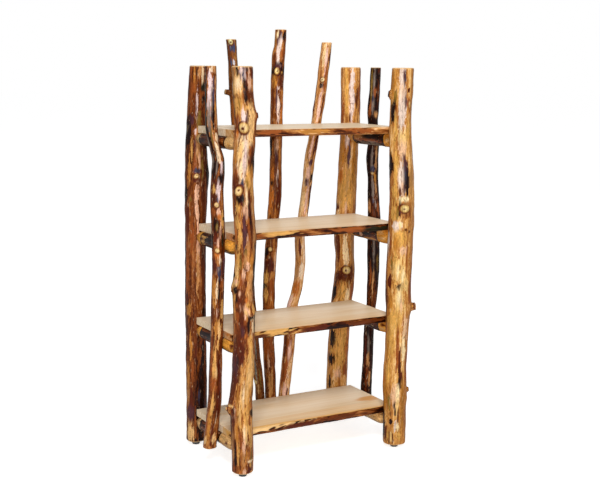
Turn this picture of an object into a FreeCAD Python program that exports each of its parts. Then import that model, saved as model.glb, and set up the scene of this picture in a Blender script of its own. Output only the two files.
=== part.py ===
import FreeCAD, Part

import math
import os

# A free-standing log bookcase, in millimetres. X runs to the right, Y to the back and Z up.
# The origin is on the floor, at the middle of the base.

V = FreeCAD.Vector
UP = V(0, 0, 1)
BACKWARD = V(0, 1, 0)

# Posts
POST_HEIGHT = 1829.0
POST_SPACING_WIDE = 851.0
POST_SPACING_DEEP = 496.0
FRONT_LEFT_RADIUS = 47.0
FRONT_RIGHT_RADIUS = 54.0
BACK_LEFT_RADIUS = 48.0
BACK_RIGHT_RADIUS = 50.0
POST_RIM_ROUND = 7.0

# Floor glides and their nails
GLIDE_THICKNESS = 20.0
GLIDE_RADIUS = 19.0
GLIDE_EDGE_BEVEL = 2.0
NAIL_RADIUS = 1.5
NAIL_LENGTH = 38.0
NAIL_HEAD_RADIUS = 4.0
NAIL_HEAD_DEPTH = 1.5
NAIL_RECESS = 4.0

# Shelves: heights are those of the top faces above the floor
TOP_SHELF_HEIGHT = 1571.0
UPPER_SHELF_HEIGHT = 1108.0
LOWER_SHELF_HEIGHT = 652.0
BOTTOM_SHELF_HEIGHT = 193.0
SHELF_THICKNESS = 32.0
SHELF_DEPTH = 390.0
FRONT_BOARD_WIDTH = 100.0
MIDDLE_BOARD_WIDTH = 145.0
LIVE_EDGE_WAVE = 6.0
POST_SCRIBE_GAP = 1.0

# Rungs and their tenons
RUNG_RADIUS = 36.0
RUNG_SEAT_DEPTH = 3.0
SHOULDER_LENGTH = 52.0
TENON_RADIUS = 19.0
TENON_LENGTH = 45.0
TENON_BEVEL = 2.0
TENON_STANDOFF = 2.0
MORTISE_CLEARANCE = 0.2
MORTISE_END_GAP = 0.8

# Poles
LEFT_POLE_FOOT_HEIGHT = 78.0
RIGHT_POLE_FOOT_HEIGHT = 72.0
LEFT_POLE_RADIUS = 28.0
LEFT_POLE_X = -485.5
LEFT_POLE_Y = -90.0
RIGHT_POLE_RADIUS = 27.0
RIGHT_POLE_X = 480.0
RIGHT_POLE_Y = 95.0
BACK_POLE_FOOT_HEIGHT = 72.0
BACK_MIDDLE_RADIUS = 29.0
BACK_MIDDLE_LENGTH = 1953.0
BACK_MIDDLE_X = -21.5
BACK_LEANING_RADIUS = 26.0
BACK_LEANING_LENGTH = 1897.0
BACK_LEANING_FOOT_X = 34.0
BACK_LEANING_HEAD_X = 271.0
BACK_DARK_RADIUS = 23.5
BACK_DARK_LENGTH = 1901.0
BACK_DARK_FOOT_X = -84.5
BACK_DARK_HEAD_X = -258.5
POLE_RIM_ROUND = 4.0
POLE_BED_SHARE = 0.86
POLE_FLAT_MARGIN = 12.0
SEAT_GAP = 0.2

# Wood screws
SCREW_RADIUS = 2.4
SCREW_HEAD_RADIUS = 4.6
SCREW_HEAD_DEPTH = 3.2
SCREW_POINT_LENGTH = 5.0
SCREW_POINT_RADIUS = 0.4
SCREW_HOLE_CLEARANCE = 0.15
SHELF_SCREW_BITE = 24.0
SHELF_SCREW_LENGTH = 64.0
SHELF_SCREW_INSET = 16.0
COUNTERBORE_RADIUS = 6.5
BACK_SCREW_BITE = 38.0
SIDE_SCREW_BITE = 32.0

# Numbers of flat sides that stand for round forms
LOG_SIDES = 14
GLIDE_SIDES = 16
STUB_SIDES = 10
SCREW_SIDES = 6

# Shape of a log's cross-section: the oval and the lobes turn along the log
SECTION_TURN_SHARE = 1.4
OVAL_SHARE = 0.025
LOBE_SHARE = 0.015
LOBES = 3
# A sanded rim: places in from the sawn end, and how far each is drawn in
RIM_SHARES = [(0.0, 1.0), (0.3, 0.3), (1.0, 0.0)]
STUB_ROUND_SHARE = 0.33

# One overrun for every cut
OVERRUN = 20.0

# Each row of a log: height along it, sideways offset, offset to the back, thickness.
# The height is a share of the log's length, and the others are shares of its radius.
FRONT_LEFT_SHARES = [
    (0.000, -0.06, 0.00, 1.03),
    (0.085, -0.09, 0.03, 1.04),
    (0.140, -0.19, 0.05, 1.05),
    (0.187, -0.23, 0.04, 1.09),
    (0.225, -0.13, 0.00, 1.06),
    (0.290, 0.01, -0.05, 1.05),
    (0.385, 0.03, -0.02, 1.02),
    (0.430, -0.09, 0.01, 1.01),
    (0.465, -0.04, 0.03, 1.01),
    (0.540, 0.18, 0.05, 1.03),
    (0.600, 0.20, 0.02, 1.02),
    (0.655, -0.03, -0.03, 1.00),
    (0.700, -0.13, -0.03, 0.98),
    (0.740, -0.10, 0.00, 0.96),
    (0.795, 0.00, 0.03, 0.99),
    (0.830, 0.12, 0.03, 0.98),
    (0.875, 0.17, 0.02, 1.00),
    (0.905, 0.04, 0.00, 0.95),
    (0.940, -0.09, -0.01, 0.94),
    (1.000, -0.19, -0.02, 0.97),
]
FRONT_RIGHT_SHARES = [
    (0.000, -0.26, 0.00, 1.03),
    (0.100, -0.27, 0.03, 1.02),
    (0.170, -0.30, 0.05, 1.08),
    (0.256, -0.23, 0.04, 1.04),
    (0.310, -0.24, 0.00, 1.02),
    (0.370, -0.21, -0.03, 1.12),
    (0.440, -0.31, -0.03, 1.20),
    (0.500, -0.22, 0.00, 1.17),
    (0.595, -0.11, 0.03, 1.17),
    (0.660, -0.08, 0.02, 1.10),
    (0.740, -0.22, -0.02, 1.08),
    (0.790, -0.35, -0.03, 1.02),
    (0.855, -0.42, -0.02, 0.99),
    (0.940, -0.35, 0.00, 0.98),
    (1.000, -0.31, 0.02, 0.96),
]
BACK_LEFT_SHARES = [
    (0.000, -0.21, 0.00, 0.99),
    (0.110, -0.09, 0.02, 1.03),
    (0.277, -0.12, 0.04, 1.07),
    (0.386, -0.19, 0.02, 1.07),
    (0.500, -0.19, 0.00, 1.06),
    (0.600, -0.16, -0.03, 1.06),
    (0.680, -0.07, -0.03, 1.13),
    (0.720, 0.05, 0.00, 1.19),
    (0.760, 0.00, 0.02, 1.09),
    (0.800, -0.03, 0.02, 1.03),
    (0.870, 0.04, 0.00, 0.93),
    (1.000, 0.20, 0.00, 0.80),
]
BACK_RIGHT_SHARES = [
    (0.000, -0.74, 0.32, 1.12),
    (0.080, -0.70, 0.32, 1.11),
    (0.195, -0.60, 0.28, 1.09),
    (0.254, -0.50, 0.24, 1.08),
    (0.340, -0.35, 0.16, 1.11),
    (0.385, -0.17, 0.08, 1.14),
    (0.430, -0.10, 0.00, 1.08),
    (0.470, -0.16, 0.00, 1.03),
    (0.530, -0.32, 0.00, 1.09),
    (0.600, -0.16, 0.00, 1.06),
    (0.740, 0.08, 0.00, 0.99),
    (0.800, 0.17, 0.00, 0.95),
    (0.854, 0.27, 0.00, 0.98),
    (1.000, 0.18, 0.00, 1.02),
]
LEFT_POLE_SHARES = [
    (0.000, -0.25, 2.07, 1.14),
    (0.137, -0.20, 0.20, 1.12),
    (0.300, -0.07, -0.28, 1.06),
    (0.407, -0.07, -0.68, 1.06),
    (0.526, -0.07, -1.07, 1.05),
    (0.564, -0.01, -0.90, 1.14),
    (0.620, 0.11, -0.36, 1.11),
    (0.690, 0.24, 0.25, 1.08),
    (0.730, 0.27, -0.25, 1.04),
    (0.768, 0.20, -0.60, 0.97),
    (0.800, 0.14, 0.75, 0.96),
    (0.840, 0.18, 1.95, 0.95),
    (0.915, 0.18, 2.20, 0.94),
    (1.000, 0.18, 2.21, 0.93),
]
RIGHT_POLE_SHARES = [
    (0.000, -0.55, 0.00, 1.06),
    (0.072, -0.50, -0.07, 1.04),
    (0.189, -0.33, -0.30, 0.96),
    (0.255, -0.26, -0.19, 0.97),
    (0.325, -0.18, -0.74, 0.95),
    (0.429, 0.15, -0.67, 1.18),
    (0.507, 0.33, -0.22, 1.20),
    (0.580, 0.40, -0.15, 1.24),
    (0.630, 0.33, 0.07, 1.12),
    (0.687, 0.22, 0.30, 0.98),
    (0.743, 0.18, 0.60, 1.16),
    (0.780, 0.11, 0.10, 1.02),
    (0.847, 0.07, 0.45, 0.90),
    (0.878, 0.07, 0.45, 1.06),
    (0.940, 0.07, 0.03, 0.96),
    (1.000, 0.07, -0.13, 0.96),
]
BACK_MIDDLE_SHARES = [
    (0.000, -0.17, 0.00, 0.99),
    (0.105, -0.46, 0.00, 0.99),
    (0.212, -0.86, 0.00, 1.03),
    (0.370, -0.82, 0.00, 1.09),
    (0.474, -0.35, 0.00, 1.09),
    (0.530, -0.12, 0.00, 1.08),
    (0.575, 0.22, 0.00, 1.16),
    (0.614, 0.30, 0.00, 1.07),
    (0.677, 0.33, 0.00, 1.04),
    (0.827, 0.48, 0.00, 1.06),
    (0.889, 0.55, 0.00, 1.08),
    (0.938, 0.76, 0.00, 1.09),
    (0.962, 0.99, 0.00, 0.99),
    (1.000, 1.14, 0.00, 0.97),
]
BACK_LEANING_SHARES = [
    (0.000, 0.00, 0.00, 1.00),
    (0.101, -0.25, 0.00, 1.08),
    (0.183, -0.25, 0.00, 1.10),
    (0.228, -0.46, 0.00, 1.10),
    (0.302, -0.75, 0.00, 1.08),
    (0.346, -0.08, 0.00, 1.02),
    (0.387, 0.05, 0.00, 0.97),
    (0.422, -0.02, 0.00, 1.04),
    (0.490, -0.90, 0.00, 1.00),
    (0.588, -0.67, 0.00, 0.96),
    (0.641, -0.65, 0.00, 0.95),
    (0.694, -0.70, 0.00, 1.02),
    (0.788, -0.22, 0.00, 0.95),
    (0.851, 0.00, 0.00, 1.02),
    (0.902, 0.00, 0.00, 0.98),
    (0.963, 0.06, 0.00, 1.05),
    (1.000, 0.00, 0.00, 0.94),
]
BACK_DARK_SHARES = [
    (0.000, 0.00, 0.00, 0.97),
    (0.098, 0.09, 0.00, 0.97),
    (0.196, -0.30, 0.00, 1.03),
    (0.550, -0.42, 0.00, 1.00),
    (0.790, -0.40, 0.00, 0.99),
    (0.887, -0.28, 0.00, 0.97),
    (0.937, 0.00, 0.00, 0.97),
    (1.000, 0.00, 0.00, 1.04),
]

# Branch stubs: height share of the log, facing in degrees from +X, and shares of the log's
# radius: stub radius at the log's axis, radius of its end, and reach beyond the log's side.
FRONT_LEFT_STUB_SHARES = [
    (0.165, 168.0, 0.86, 0.17, 0.62),
    (0.402, -45.0, 0.40, 0.24, 0.10),
    (0.473, 158.0, 0.50, 0.20, 0.20),
    (0.706, -144.0, 0.42, 0.33, 0.09),
    (0.857, -130.0, 0.52, 0.42, 0.08),
    (0.884, -28.0, 0.62, 0.26, 0.16),
]
FRONT_RIGHT_STUB_SHARES = [
    (0.145, -30.0, 0.34, 0.20, 0.16),
    (0.368, -30.0, 0.40, 0.27, 0.56),
    (0.641, -104.0, 0.44, 0.34, 0.06),
    (0.932, 156.0, 0.46, 0.24, 0.14),
]
BACK_LEFT_STUB_SHARES = [
    (0.718, -120.0, 0.42, 0.28, 0.08),
]
BACK_RIGHT_STUB_SHARES = [
    (0.165, 158.0, 0.44, 0.26, 0.08),
    (0.428, -117.0, 0.36, 0.26, 0.07),
]
LEFT_POLE_STUB_SHARES = [
    (0.648, -112.0, 0.50, 0.34, 0.08),
    (0.530, -118.0, 0.46, 0.30, 0.08),
]
BACK_MIDDLE_STUB_SHARES = [
    (0.885, -95.0, 0.52, 0.30, 0.10),
]
BACK_LEANING_STUB_SHARES = [
    (0.905, -110.0, 0.50, 0.30, 0.08),
]
BACK_DARK_STUB_SHARES = [
    (0.869, 168.0, 0.72, 0.52, 0.92),
    (0.985, -112.0, 0.56, 0.42, 0.10),
]

# Rung body: place along half its length between the posts, and share of its radius
RUNG_BODY_SHARES = [
    (-0.30, 0.97),
    (0.20, 1.00),
]
# The hollow shoulder: place along it from the body to the tenon, and share of the step in radius
SHOULDER_SHARES = [
    (0.00, 0.00),
    (0.40, 0.14),
    (0.75, 0.46),
    (1.00, 1.00),
]

SHELF_TOPS = {
    "top_shelf": TOP_SHELF_HEIGHT,
    "upper_shelf": UPPER_SHELF_HEIGHT,
    "lower_shelf": LOWER_SHELF_HEIGHT,
    "bottom_shelf": BOTTOM_SHELF_HEIGHT,
}
# Left and right end of each shelf, as shares of half the post spacing
SHELF_END_SHARES = {
    "top_shelf": (-1.035, 1.020),
    "upper_shelf": (-1.030, 1.020),
    "lower_shelf": (-1.065, 1.018),
    "bottom_shelf": (-1.070, 1.018),
}
# Each rung: place as a share of half the post spacing, and thickness as a share of its radius
RUNG_SHARES = {
    "top_shelf_rung_left": (-1.010, 0.86),
    "top_shelf_rung_right": (0.987, 1.00),
    "upper_shelf_rung_left": (-1.006, 0.97),
    "upper_shelf_rung_right": (0.992, 1.14),
    "lower_shelf_rung_left": (-1.010, 0.97),
    "lower_shelf_rung_right": (0.975, 0.97),
    "bottom_shelf_rung_left": (-1.015, 1.00),
    "bottom_shelf_rung_right": (0.947, 1.08),
}

# Live edge: places along the shelf, then how far each stands forward, as shares of the wave,
# at the underside, at half thickness and at the top face
LIVE_EDGE_SHARES = {
    "top_shelf": [
        (0.12, -0.3, 0.5, -0.9),
        (0.30, 0.2, 0.7, -0.5),
        (0.50, -0.2, 0.6, -0.8),
        (0.70, 0.3, 0.8, -0.4),
        (0.88, 0.1, 0.4, -0.7),
    ],
    "upper_shelf": [
        (0.12, 0.3, 0.6, -0.6),
        (0.30, -0.3, 0.4, -1.0),
        (0.48, 0.2, 0.6, -1.3),
        (0.72, 0.5, 0.9, -0.4),
        (0.90, 0.0, 0.5, -0.6),
    ],
    "lower_shelf": [
        (0.10, -0.6, 0.3, -0.2),
        (0.30, 0.0, 0.7, -0.5),
        (0.52, 0.4, 0.8, -0.9),
        (0.74, 0.1, 0.5, -1.2),
        (0.90, -0.2, 0.4, -0.8),
    ],
    "bottom_shelf": [
        (0.08, 0.5, 0.2, -1.5),
        (0.25, 0.4, 0.4, -1.2),
        (0.45, 0.1, 0.6, -1.0),
        (0.70, 0.3, 0.8, -0.6),
        (0.90, 0.0, 0.6, -0.9),
    ],
}

HALF_WIDE = POST_SPACING_WIDE / 2
HALF_DEEP = POST_SPACING_DEEP / 2
SHELF_FRONT_Y = -SHELF_DEPTH / 2
SHELF_BACK_Y = SHELF_DEPTH / 2
FRONT_SEAM_Y = SHELF_FRONT_Y + FRONT_BOARD_WIDTH
BACK_SEAM_Y = FRONT_SEAM_Y + MIDDLE_BOARD_WIDTH
HOLE_RADIUS = SCREW_RADIUS + SCREW_HOLE_CLEARANCE


# Forms with flat sides all round

def flat_face(points):
    """One flat face between its corners."""
    return Part.Face(Part.makePolygon(points + points[:1]))


def many_sided(start, direction, profile, sides):
    """A rod through a profile's rows of place along its axis and radius, with flat sides."""
    angles = [2 * math.pi * k / sides for k in range(sides)]
    rings = []
    for along, radius in profile:
        rings.append([V(radius * math.cos(angle), radius * math.sin(angle), along) for angle in angles])
    faces = [flat_face(rings[0]), flat_face(rings[-1])]
    for low, high in zip(rings, rings[1:]):
        for k in range(sides):
            faces.append(flat_face([low[k - 1], low[k], high[k], high[k - 1]]))
    solid = Part.makeSolid(Part.makeShell(faces))
    if solid.Volume < 0:
        solid.reverse()
    solid.Placement = FreeCAD.Placement(start, FreeCAD.Rotation(UP, direction))
    return solid


def drill(start, direction, radius, length, sides):
    """The cutting tool of a straight hole."""
    return many_sided(start, direction, [(0, radius), (length, radius)], sides)


# Logs

class Log:
    """A crooked log between a foot and a head, shaped by its table of shares."""

    def __init__(self, foot, head, radius, shares, stubs):
        self.foot = foot
        self.head = head
        self.radius = radius
        self.shares = shares
        self.stubs = stubs

    def at_share(self, along):
        """The centre and radius at a share of the log's height."""
        k = 0
        while k < len(self.shares) - 2 and along > self.shares[k + 1][0]:
            k += 1
        start, end = self.shares[k], self.shares[k + 1]
        t = (along - start[0]) / (end[0] - start[0])
        sideways, backward, thickness = [a + (b - a) * t for a, b in zip(start[1:], end[1:])]
        middle = self.foot + (self.head - self.foot) * along
        middle = middle + V(sideways * self.radius, backward * self.radius, 0)
        return middle, thickness * self.radius

    def at(self, height):
        """The centre and radius at a height above the floor."""
        return self.at_share((height - self.foot.z) / (self.head.z - self.foot.z))

    def section(self, height, inset):
        """One closed, slightly oval and lobed section, drawn in by an inset."""
        middle, radius = self.at(height)
        along = (height - self.foot.z) / (self.head.z - self.foot.z)
        turn = 2 * math.pi * SECTION_TURN_SHARE * along
        points = []
        for k in range(LOG_SIDES):
            angle = 2 * math.pi * k / LOG_SIDES
            swell = OVAL_SHARE * math.cos(2 * angle + turn) + LOBE_SHARE * math.cos(LOBES * angle - turn)
            reach = radius * (1 + swell) - inset
            points.append(middle + V(reach * math.cos(angle), reach * math.sin(angle), 0))
        return Part.makePolygon(points + points[:1])

    def solid(self, rim_round):
        """The whole log: a loft through its rows and sanded rims, with its stubs grown on."""
        rim = [(place * rim_round, inset * rim_round) for place, inset in RIM_SHARES]
        length = self.head.z - self.foot.z
        sections = [self.section(self.foot.z + place, inset) for place, inset in rim]
        sections += [self.section(self.foot.z + length * row[0], 0) for row in self.shares[1:-1]]
        sections += [self.section(self.head.z - place, inset) for place, inset in reversed(rim)]
        body = Part.makeLoft(sections, True, True)
        stubs = [stub(self, *row) for row in self.stubs]
        return body.fuse(stubs) if stubs else body


def stub(log, share, facing, base_share, end_share, reach_share):
    """A sawn branch stub that tapers out of the log and ends in a rounded disc."""
    middle, side = log.at_share(share)
    base = base_share * log.radius
    end = end_share * log.radius
    reach = side + reach_share * log.radius
    rounding = end * STUB_ROUND_SHARE
    profile = [(0, base), (reach - rounding, end), (reach, end - rounding)]
    outward = V(math.cos(math.radians(facing)), math.sin(math.radians(facing)), 0)
    return many_sided(middle, outward, profile, STUB_SIDES)


# Screws

def screw(head_place, direction, length):
    """A countersunk wood screw, its flat head's middle at head_place."""
    profile = [
        (0, SCREW_HEAD_RADIUS),
        (SCREW_HEAD_DEPTH, SCREW_RADIUS),
        (length - SCREW_POINT_LENGTH, SCREW_RADIUS),
        (length, SCREW_POINT_RADIUS),
    ]
    return many_sided(head_place, direction, profile, SCREW_SIDES)


def screw_hole(head_place, direction, length):
    """The cutting tool of a screw's hole, with its countersink opening outwards."""
    profile = [
        (0, SCREW_HEAD_RADIUS + SCREW_HOLE_CLEARANCE),
        (SCREW_HEAD_DEPTH + SCREW_HOLE_CLEARANCE, HOLE_RADIUS),
        (length + SCREW_HOLE_CLEARANCE, HOLE_RADIUS),
    ]
    return many_sided(head_place, direction, profile, SCREW_SIDES)


# Posts

def post_logs():
    """The four corner posts, as logs."""
    rows = {
        "post_front_left": (-1, -1, FRONT_LEFT_RADIUS, FRONT_LEFT_SHARES, FRONT_LEFT_STUB_SHARES),
        "post_front_right": (1, -1, FRONT_RIGHT_RADIUS, FRONT_RIGHT_SHARES, FRONT_RIGHT_STUB_SHARES),
        "post_back_left": (-1, 1, BACK_LEFT_RADIUS, BACK_LEFT_SHARES, BACK_LEFT_STUB_SHARES),
        "post_back_right": (1, 1, BACK_RIGHT_RADIUS, BACK_RIGHT_SHARES, BACK_RIGHT_STUB_SHARES),
    }
    logs = {}
    for name, (right, back, radius, shares, stubs) in rows.items():
        foot = V(right * HALF_WIDE, back * HALF_DEEP, GLIDE_THICKNESS)
        logs[name] = Log(foot, foot + UP * POST_HEIGHT, radius, shares, stubs)
    return logs


POSTS = post_logs()


def post_inner_y(name, height):
    """Where a post's inward side lies at a height."""
    middle, radius = POSTS[name].at(height)
    return middle.y + radius if "front" in name else middle.y - radius


# Rungs

def rung_places():
    """The place, height, radius and posts of each rung."""
    places = {}
    for name, (place_share, radius_share) in RUNG_SHARES.items():
        prefix, side = name.split("_rung_")
        seat = SHELF_TOPS[prefix] - SHELF_THICKNESS
        radius = RUNG_RADIUS * radius_share
        places[name] = {
            "x": HALF_WIDE * place_share,
            "z": seat + RUNG_SEAT_DEPTH - radius,
            "radius": radius,
            "side": side,
            "seat": seat,
        }
    return places


RUNGS = rung_places()


def rung_faces(rung):
    """Where a rung's shoulders end, beside the front and the back post."""
    front = post_inner_y("post_front_" + rung["side"], rung["z"]) + TENON_STANDOFF
    back = post_inner_y("post_back_" + rung["side"], rung["z"]) - TENON_STANDOFF
    return front, back


def shoulder_points(body_y, end_y, radius):
    """The hollow taper from the rung's body down to its tenon."""
    points = []
    for along, share in SHOULDER_SHARES:
        points.append((body_y + (end_y - body_y) * along, radius + (TENON_RADIUS - radius) * share))
    return points


def rung_solid(rung):
    """A rung with tapered shoulders, tenons and a planed seat for the shelf."""
    radius = rung["radius"]
    front, back = rung_faces(rung)
    middle_y = (front + back) / 2
    half = (back - front) / 2
    front_tip = front - TENON_STANDOFF - TENON_LENGTH
    back_tip = back + TENON_STANDOFF + TENON_LENGTH
    profile = [
        (front_tip, TENON_RADIUS - TENON_BEVEL),
        (front_tip + TENON_BEVEL, TENON_RADIUS),
    ]
    profile += reversed(shoulder_points(front + SHOULDER_LENGTH, front, radius))
    profile += [(middle_y + half * place, radius * share) for place, share in RUNG_BODY_SHARES]
    profile += shoulder_points(back - SHOULDER_LENGTH, back, radius)
    profile += [
        (back_tip - TENON_BEVEL, TENON_RADIUS),
        (back_tip, TENON_RADIUS - TENON_BEVEL),
    ]
    solid = many_sided(V(rung["x"], 0, rung["z"]), BACKWARD, profile, LOG_SIDES)
    plane = Part.makeBox(
        2 * radius + 2 * OVERRUN,
        back - front,
        radius + OVERRUN,
        V(rung["x"] - radius - OVERRUN, front, rung["seat"]),
    )
    return solid.cut(plane)


def mortise(rung, post_side):
    """The cutting tool of the blind hole for a rung's front (-1) or back (1) tenon."""
    front, back = rung_faces(rung)
    radius = TENON_RADIUS + MORTISE_CLEARANCE
    depth = TENON_LENGTH + MORTISE_END_GAP
    if post_side < 0:
        start = front - TENON_STANDOFF - depth
    else:
        start = back + TENON_STANDOFF - OVERRUN
    return drill(V(rung["x"], start, rung["z"]), BACKWARD, radius, depth + OVERRUN, LOG_SIDES)


# Poles

def pole_logs():
    """The two side poles and the three back poles, as logs."""
    top = GLIDE_THICKNESS + POST_HEIGHT
    logs = {
        "side_pole_left": Log(
            V(LEFT_POLE_X, LEFT_POLE_Y, LEFT_POLE_FOOT_HEIGHT),
            V(LEFT_POLE_X, LEFT_POLE_Y, top),
            LEFT_POLE_RADIUS, LEFT_POLE_SHARES, LEFT_POLE_STUB_SHARES,
        ),
        "side_pole_right": Log(
            V(RIGHT_POLE_X, RIGHT_POLE_Y, RIGHT_POLE_FOOT_HEIGHT),
            V(RIGHT_POLE_X, RIGHT_POLE_Y, top),
            RIGHT_POLE_RADIUS, RIGHT_POLE_SHARES, [],
        ),
    }
    backs = {
        "back_pole_left": (
            BACK_DARK_FOOT_X, BACK_DARK_HEAD_X, BACK_DARK_LENGTH,
            BACK_DARK_RADIUS, BACK_DARK_SHARES, BACK_DARK_STUB_SHARES,
        ),
        "back_pole_middle": (
            BACK_MIDDLE_X, BACK_MIDDLE_X, BACK_MIDDLE_LENGTH,
            BACK_MIDDLE_RADIUS, BACK_MIDDLE_SHARES, BACK_MIDDLE_STUB_SHARES,
        ),
        "back_pole_right": (
            BACK_LEANING_FOOT_X, BACK_LEANING_HEAD_X, BACK_LEANING_LENGTH,
            BACK_LEANING_RADIUS, BACK_LEANING_SHARES, BACK_LEANING_STUB_SHARES,
        ),
    }
    for name, (foot_x, head_x, length, radius, shares, stubs) in backs.items():
        y = SHELF_BACK_Y + POLE_BED_SHARE * radius
        foot = V(foot_x, y, BACK_POLE_FOOT_HEIGHT)
        head = V(head_x, y, BACK_POLE_FOOT_HEIGHT + length)
        logs[name] = Log(foot, head, radius, shares, stubs)
    return logs


POLES = pole_logs()
BACK_POLES = [name for name in POLES if name.startswith("back")]


def back_pole_flat(log, top):
    """The cut that beds a back pole on a shelf's back edge."""
    middle, radius = log.at(top - SHELF_THICKNESS / 2)
    wide = 2 * radius + 2 * OVERRUN
    return Part.makeBox(
        wide,
        radius + OVERRUN,
        SHELF_THICKNESS + 2 * POLE_FLAT_MARGIN,
        V(
            middle.x - wide / 2,
            SHELF_BACK_Y + SEAT_GAP - radius - OVERRUN,
            top - SHELF_THICKNESS - POLE_FLAT_MARGIN,
        ),
    )


def side_pole_flat(log, rung, sign):
    """The cut that beds a side pole on a rung's outer side."""
    middle, radius = log.at(rung["z"])
    face = rung["x"] + sign * (rung["radius"] + SEAT_GAP)
    wide = 2 * radius + 2 * OVERRUN
    tall = 2 * rung["radius"]
    start_x = face - wide if sign > 0 else face
    return Part.makeBox(
        wide, wide, tall,
        V(start_x, middle.y - wide / 2, rung["z"] - tall / 2),
    )


# Places of the screws: each returns rows of head place, direction and length

def shelf_screw_rows(rung):
    """Screws up through a rung, one into each of the shelf's boards."""
    inward = 1 if rung["side"] == "left" else -1
    x = rung["x"] + inward * SHELF_SCREW_INSET
    head_z = rung["seat"] + SHELF_SCREW_BITE - SHELF_SCREW_LENGTH
    board_middles = [
        (SHELF_FRONT_Y + FRONT_SEAM_Y) / 2,
        (FRONT_SEAM_Y + BACK_SEAM_Y) / 2,
        (BACK_SEAM_Y + SHELF_BACK_Y) / 2,
    ]
    return [(V(x, y, head_z), V(0, 0, 1), SHELF_SCREW_LENGTH) for y in board_middles]


def back_screw_row(name, top):
    """The screw through a back pole into a shelf's back edge."""
    middle, radius = POLES[name].at(top - SHELF_THICKNESS / 2)
    head_y = middle.y + radius * (1 - 2 * OVAL_SHARE) - SCREW_HEAD_DEPTH
    length = head_y - SHELF_BACK_Y + BACK_SCREW_BITE
    return (V(middle.x, head_y, top - SHELF_THICKNESS / 2), V(0, -1, 0), length)


def side_screw_row(pole, rung):
    """The screw through a rung, from its inner side, into a side pole."""
    sign = -1 if rung["side"] == "left" else 1
    middle, radius = POLES[pole].at(rung["z"])
    head_x = rung["x"] - sign * (rung["radius"] - 2 * SCREW_HEAD_DEPTH)
    face = rung["x"] + sign * rung["radius"]
    length = abs(face - head_x) + SIDE_SCREW_BITE
    return (V(head_x, middle.y, rung["z"]), V(sign, 0, 0), length)


def outward_tool(row, radius):
    """The recess that lets a screw's head in from the outside."""
    head, direction, length = row
    return drill(head - direction * OVERRUN * 2, direction, radius, OVERRUN * 2, SCREW_SIDES)


# Shelves

def edge_curve(front_points):
    """A smooth line through the points of a live edge."""
    curve = Part.BSplineCurve()
    curve.interpolate(front_points)
    return curve.toShape()


def live_edge_board(prefix, left, right, bottom):
    """The front board: square ends and back edge, and a bulged, wavy live edge."""
    rows = LIVE_EDGE_SHARES[prefix]
    rows = [(0.0,) + rows[0][1:]] + rows + [(1.0,) + rows[-1][1:]]
    wires = []
    for level in range(3):
        z = bottom + SHELF_THICKNESS * level / 2
        front = []
        for row in rows:
            x = left + (right - left) * row[0]
            front.append(V(x, SHELF_FRONT_Y - LIVE_EDGE_WAVE * row[1 + level], z))
        back_left = V(left, FRONT_SEAM_Y, z)
        back_right = V(right, FRONT_SEAM_Y, z)
        wires.append(Part.Wire([
            edge_curve(front),
            Part.makeLine(front[-1], back_right),
            Part.makeLine(back_right, back_left),
            Part.makeLine(back_left, front[0]),
        ]))
    return Part.makeLoft(wires, True, True)


def post_scribe(name, top):
    """The tool that fits a shelf's corner round a post."""
    middle, radius = POSTS[name].at(top - SHELF_THICKNESS / 2)
    grown = radius * (1 + OVAL_SHARE + LOBE_SHARE) + POST_SCRIBE_GAP
    tall = SHELF_THICKNESS + 2 * OVERRUN
    start = V(middle.x, middle.y, top - SHELF_THICKNESS - OVERRUN)
    return drill(start, UP, grown, tall, LOG_SIDES)


def shelf_boards(prefix, top):
    """The three boards of one shelf, before their screw holes."""
    left, right = [HALF_WIDE * share for share in SHELF_END_SHARES[prefix]]
    bottom = top - SHELF_THICKNESS
    boards = {
        prefix + "_front_board": live_edge_board(prefix, left, right, bottom),
        prefix + "_middle_board": Part.makeBox(
            right - left, MIDDLE_BOARD_WIDTH, SHELF_THICKNESS, V(left, FRONT_SEAM_Y, bottom)
        ),
        prefix + "_back_board": Part.makeBox(
            right - left, SHELF_BACK_Y - BACK_SEAM_Y, SHELF_THICKNESS, V(left, BACK_SEAM_Y, bottom)
        ),
    }
    for board_name, post_row in (("_front_board", "front"), ("_back_board", "back")):
        for side in ("left", "right"):
            tool = post_scribe("post_" + post_row + "_" + side, top)
            boards[prefix + board_name] = boards[prefix + board_name].cut(tool)
    return boards


# Glides

def glide(name):
    """A round nail-on glide with a recess for the nail's head."""
    foot = POSTS[name].at_share(0)[0]
    start = V(foot.x, foot.y, 0)
    profile = [
        (0, GLIDE_RADIUS - GLIDE_EDGE_BEVEL),
        (GLIDE_EDGE_BEVEL, GLIDE_RADIUS),
        (GLIDE_THICKNESS, GLIDE_RADIUS),
    ]
    solid = many_sided(start, UP, profile, GLIDE_SIDES)
    recess = drill(start - UP * OVERRUN, UP, NAIL_HEAD_RADIUS + SEAT_GAP,
                   OVERRUN + NAIL_RECESS + NAIL_HEAD_DEPTH, SCREW_SIDES)
    shank = drill(start, UP, NAIL_RADIUS + SCREW_HOLE_CLEARANCE, GLIDE_THICKNESS + OVERRUN, SCREW_SIDES)
    return solid.cut([recess, shank])


def glide_nail(name):
    """The nail that holds a glide, its head in the recess."""
    foot = POSTS[name].at_share(0)[0]
    start = V(foot.x, foot.y, NAIL_RECESS)
    head = drill(start, UP, NAIL_HEAD_RADIUS, NAIL_HEAD_DEPTH, SCREW_SIDES)
    shank = drill(start, UP, NAIL_RADIUS, NAIL_LENGTH, SCREW_SIDES)
    return head.fuse(shank).removeSplitter()


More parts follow.
